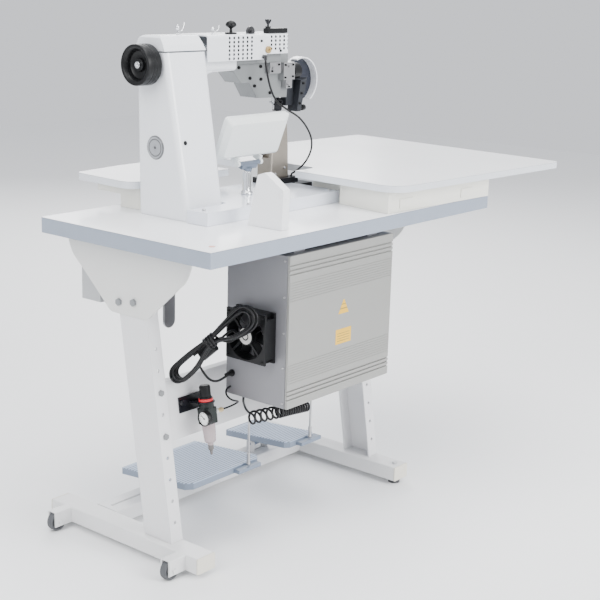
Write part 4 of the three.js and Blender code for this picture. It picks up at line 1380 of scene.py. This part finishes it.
@dataclass
class HeadDetails:
    """Small turned pieces of the head: knobs, screws, the chrome post and the plug in the column."""

    maker: Maker

    def screws(self, name: str, axis: Axis, spots: list, radius: float, finish: Finish) -> None:
        """Socket-head screws: a rounded cap with a sunk socket, one at each spot.

        Args:
            name: the piece's name.
            axis: the axis of the screws.
            spots: their places, in table millimetres.
            radius: of a cap, in millimetres.
            finish: what it is dressed with.
        """
        r = radius
        profile = [(0, -0.2), (r, -0.2), (r, 0.75 * r), (0.86 * r, r), (0.52 * r, r), (0.46 * r, 0.45 * r),
                   (0, 0.4 * r)]
        parts = [turned(axis, profile, place(spot), 20) for spot in spots]
        self.maker.piece(name, merged(parts), finish, "machine")

    def thread_eyes(self) -> None:
        """Two thread guides on the lid and hood: a stud with a bead and a bent wire beside it."""
        for number, (x, y, high) in enumerate([(262.0, -112.0, 24.0), (150.0, -104.0, 17.0)]):
            stud = [(0, 0), (4, 0), (4, 2), (1.6, 3), (1.6, high * 0.45), (4.2, high * 0.55), (5, high * 0.7),
                    (4.2, high * 0.85), (1.5, high), (0, high)]
            rise = np.linspace(0.0, 1.0, 9)
            wire = np.stack([x - 3.0 - 20.0 * rise, np.full(9, y), 1223.4 + high * (0.3 + 0.9 * rise**4)],
                            axis=1)
            parts = [turned(Axis.Z, stud, place([x, y, 1223.2]), 20), rod(place(wire), 0.0011)]
            self.maker.piece(f"thread_eye_{number + 1}", merged(parts), CHROME, "machine")

    def build(self) -> None:
        """Make each small piece."""
        knob = [(0, 0), (14, 0), (15, 1), (15, 3.4), (14, 4), (4.4, 5.5), (3.4, 8), (3.4, 13), (6, 14.6),
                (11, 17.5), (13.2, 20), (13.5, 22), (12.6, 25.5), (10, 28.6), (6.5, 31), (3, 32.2), (0, 32.4)]
        self.maker.piece("dome_knob", turned(Axis.Z, knob, place([98.0, -92.0, 1223.3]), 40), BLACK,
                         "tension_knob", "black_plastic", ("tension_knob",))
        post = [(0, 831.3), (14, 831.3), (15, 832.3), (15, 836), (14, 838), (11.6, 840), (11, 842),
                (11, 887.6), (10.4, 888.2), (0, 888.2)]
        self.maker.piece("panel_column", turned(Axis.Z, post, place([84.0, -44.0, 0.0]), 48), CHROME,
                         "machine", "chrome", ("panel_post",))
        grip = [(0, -200), (6, -200), (7.4, -199), (8, -197.5), (8, -189), (7, -188), (5, -186.5),
                (5, -177.3), (0, -177.3)]
        self.maker.piece("guide_grip", turned(Axis.X, grip, place([5.0, -94.0, 1027.0]), 32), BLACK,
                         "guide_knob", "black_plastic", ("guide_knob",))
        face = [(0, 0), (9, 0), (9.4, 0.6), (9.4, 2.4), (8.8, 3), (3, 3), (2.6, 1.8), (0, 1.8)]
        self.maker.piece("motor_face", turned(Axis.X, face, place([-136.1, -100.0, 1124.0]), 36), BRASS,
                         "machine", "block")
        plug = [(0, 0), (5.2, 0), (5.2, 1.6), (4.6, 2.2), (0, 2.4)]
        spot = place([320.0, -27.9, 980.0])
        leaning = tilted(turned(Axis.Y, plug, spot, 28), math.atan(0.199), spot)
        self.maker.piece("column_plug", leaning, BLACK, "machine")
        # Painted shade: a thin black sheet behind the hood's holes stands in for the shade inside the arm.
        shade_outline = place([[-84.0, -70.0, 1176.0], [203.0, -70.0, 1176.0], [203.0, -70.0, 1218.0],
                        [-84.0, -70.0, 1218.0]])
        self.maker.piece("hood_shade_sheet", slab(shade_outline, np.zeros(3), np.array([0.0, 0.0006, 0.0])), BLACK,
                         "machine")
        red = [(0, 0), (7, 0), (7, 0.5), (6.4, 0.8), (0, 0.8)]
        self.maker.piece("table_plug", turned(Axis.Z, red, place([502.0, 233.0, 800.0]), 28), RED, "machine")
        self.thread_eyes()
        self.screws("hood_screws", Axis.Y, [[14, -66, 1206], [-60, -66, 1180]], 3.2, BLACK)
        self.screws("block_screws", Axis.Y, [[-48, -82, 1128], [-74, -82, 1144], [-98, -80, 1142],
                                             [-128, -80, 1142], [-98, -80, 1110], [-128, -80, 1112],
                                             [-116, -82, 1087]], 2.8, BLACK)
        self.screws("housing_screws", Axis.Y, [[62, -98, 1140], [20, -98, 1112], [2, -98, 1092],
                                               [-22, -98, 1108], [-20, -98, 1140], [-58, -98, 1072]], 4.2,
                    BLACK)
        self.screws("arm_screws", Axis.Y, [[-176, -84, 1092], [-170, -84, 1066], [-163, -84, 1040]], 3.4,
                    BLACK)
        self.screws("post_screws", Axis.Y, [[-126, -100, 872], [-88, -100, 858]], 3.6, STEEL)
        self.screws("bed_screws", Axis.Z, [[-120, 58, 831], [60, 58, 831], [190, 58, 831], [330, 44, 831]],
                    4.0, STEEL)


@dataclass
class BoxDetails:
    """Labels, screws and the fan's hub of the control box."""

    maker: Maker

    def sticker(self, name: str, corners: np.ndarray, bars: float) -> None:
        """A thin yellow label with cut corners on the grooved back panel.

        Args:
            name: the piece's name.
            corners: its outline, in table millimetres.
            bars: pitch of the dark bars, in metres.
        """
        low, high = corners.min(axis=0), corners.max(axis=0)
        finish = Sticker(f"{name}_film", (0.72, 0.42, 0.015), 0.45, mottle=0.03, grain=0.03, edge=0.0,
                         low=(float(place(low)[0] + 0.006), float(place(low)[2] + 0.006)),
                         high=(float(place(high)[0] - 0.006), float(place(high)[2] - 0.010)), bars=bars)
        surface = slab(place(corners), np.zeros(3), np.array([0.0, 0.0003, 0.0]))
        self.maker.piece(name, surface, finish, "machine", smooth=False)

    def hub(self) -> None:
        """Pale plain label on the fan's hub, with a dark ring."""
        centre = place([328.3, 178.0, 554.0])
        self.maker.piece("fan_label", turned(Axis.X, [(0, 0), (19, 0), (19, 0.3), (0, 0.3)], centre, 48),
                         LABEL, "machine")
        self.maker.piece("fan_ring", turned(Axis.X, [(7, 0.3), (10, 0.3), (10, 0.6), (7, 0.6), (7, 0.3)],
                                            centre, 36), BLACK, "machine")

    def build(self) -> None:
        """Make each small piece."""
        y = 275.0
        triangle = np.array([[104.0, y, 583.0], [64.0, y, 583.0], [82.0, y, 617.0], [86.0, y, 617.0]])
        rectangle = np.array([[112.0, y, 508.0], [52.0, y, 508.0], [52.0, y, 545.0], [112.0, y, 545.0]])
        self.sticker("caution_triangle", triangle, 0.011)
        self.sticker("caution_plate", rectangle, 0.0062)
        self.hub()
        details = HeadDetails(self.maker)
        corners = [[328.6, 178.0 + a, 554.0 + b] for a in (-52.5, 52.5) for b in (-52.5, 52.5)]
        details.screws("fan_screws", Axis.X, corners, 2.6, BLACK)
        edge = [[290.0, 262.0, z] for z in (400.0, 486.0, 570.0, 655.0, 740.0)]
        details.screws("case_screws", Axis.X, edge, 2.6, STEEL)


# ------------------------------------------------------------------ the whole
def main() -> None:
    """Load the frame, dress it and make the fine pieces."""
    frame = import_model()
    Studio().build()
    wardrobe = Wardrobe()
    maker = Maker(wardrobe)
    Cords(maker, frame["nodes"]).build()
    for name, finish in NODE_FINISHES.items():
        wardrobe.dress(frame["nodes"][name], finish)
        LOG.info("dressed %s", name)
    for part in (DriveWheel, Casters, Regulator, HeadDetails, BoxDetails):
        part(maker).build()
        LOG.info("built %s", part.__name__)


if __name__ == "__main__":
    main()
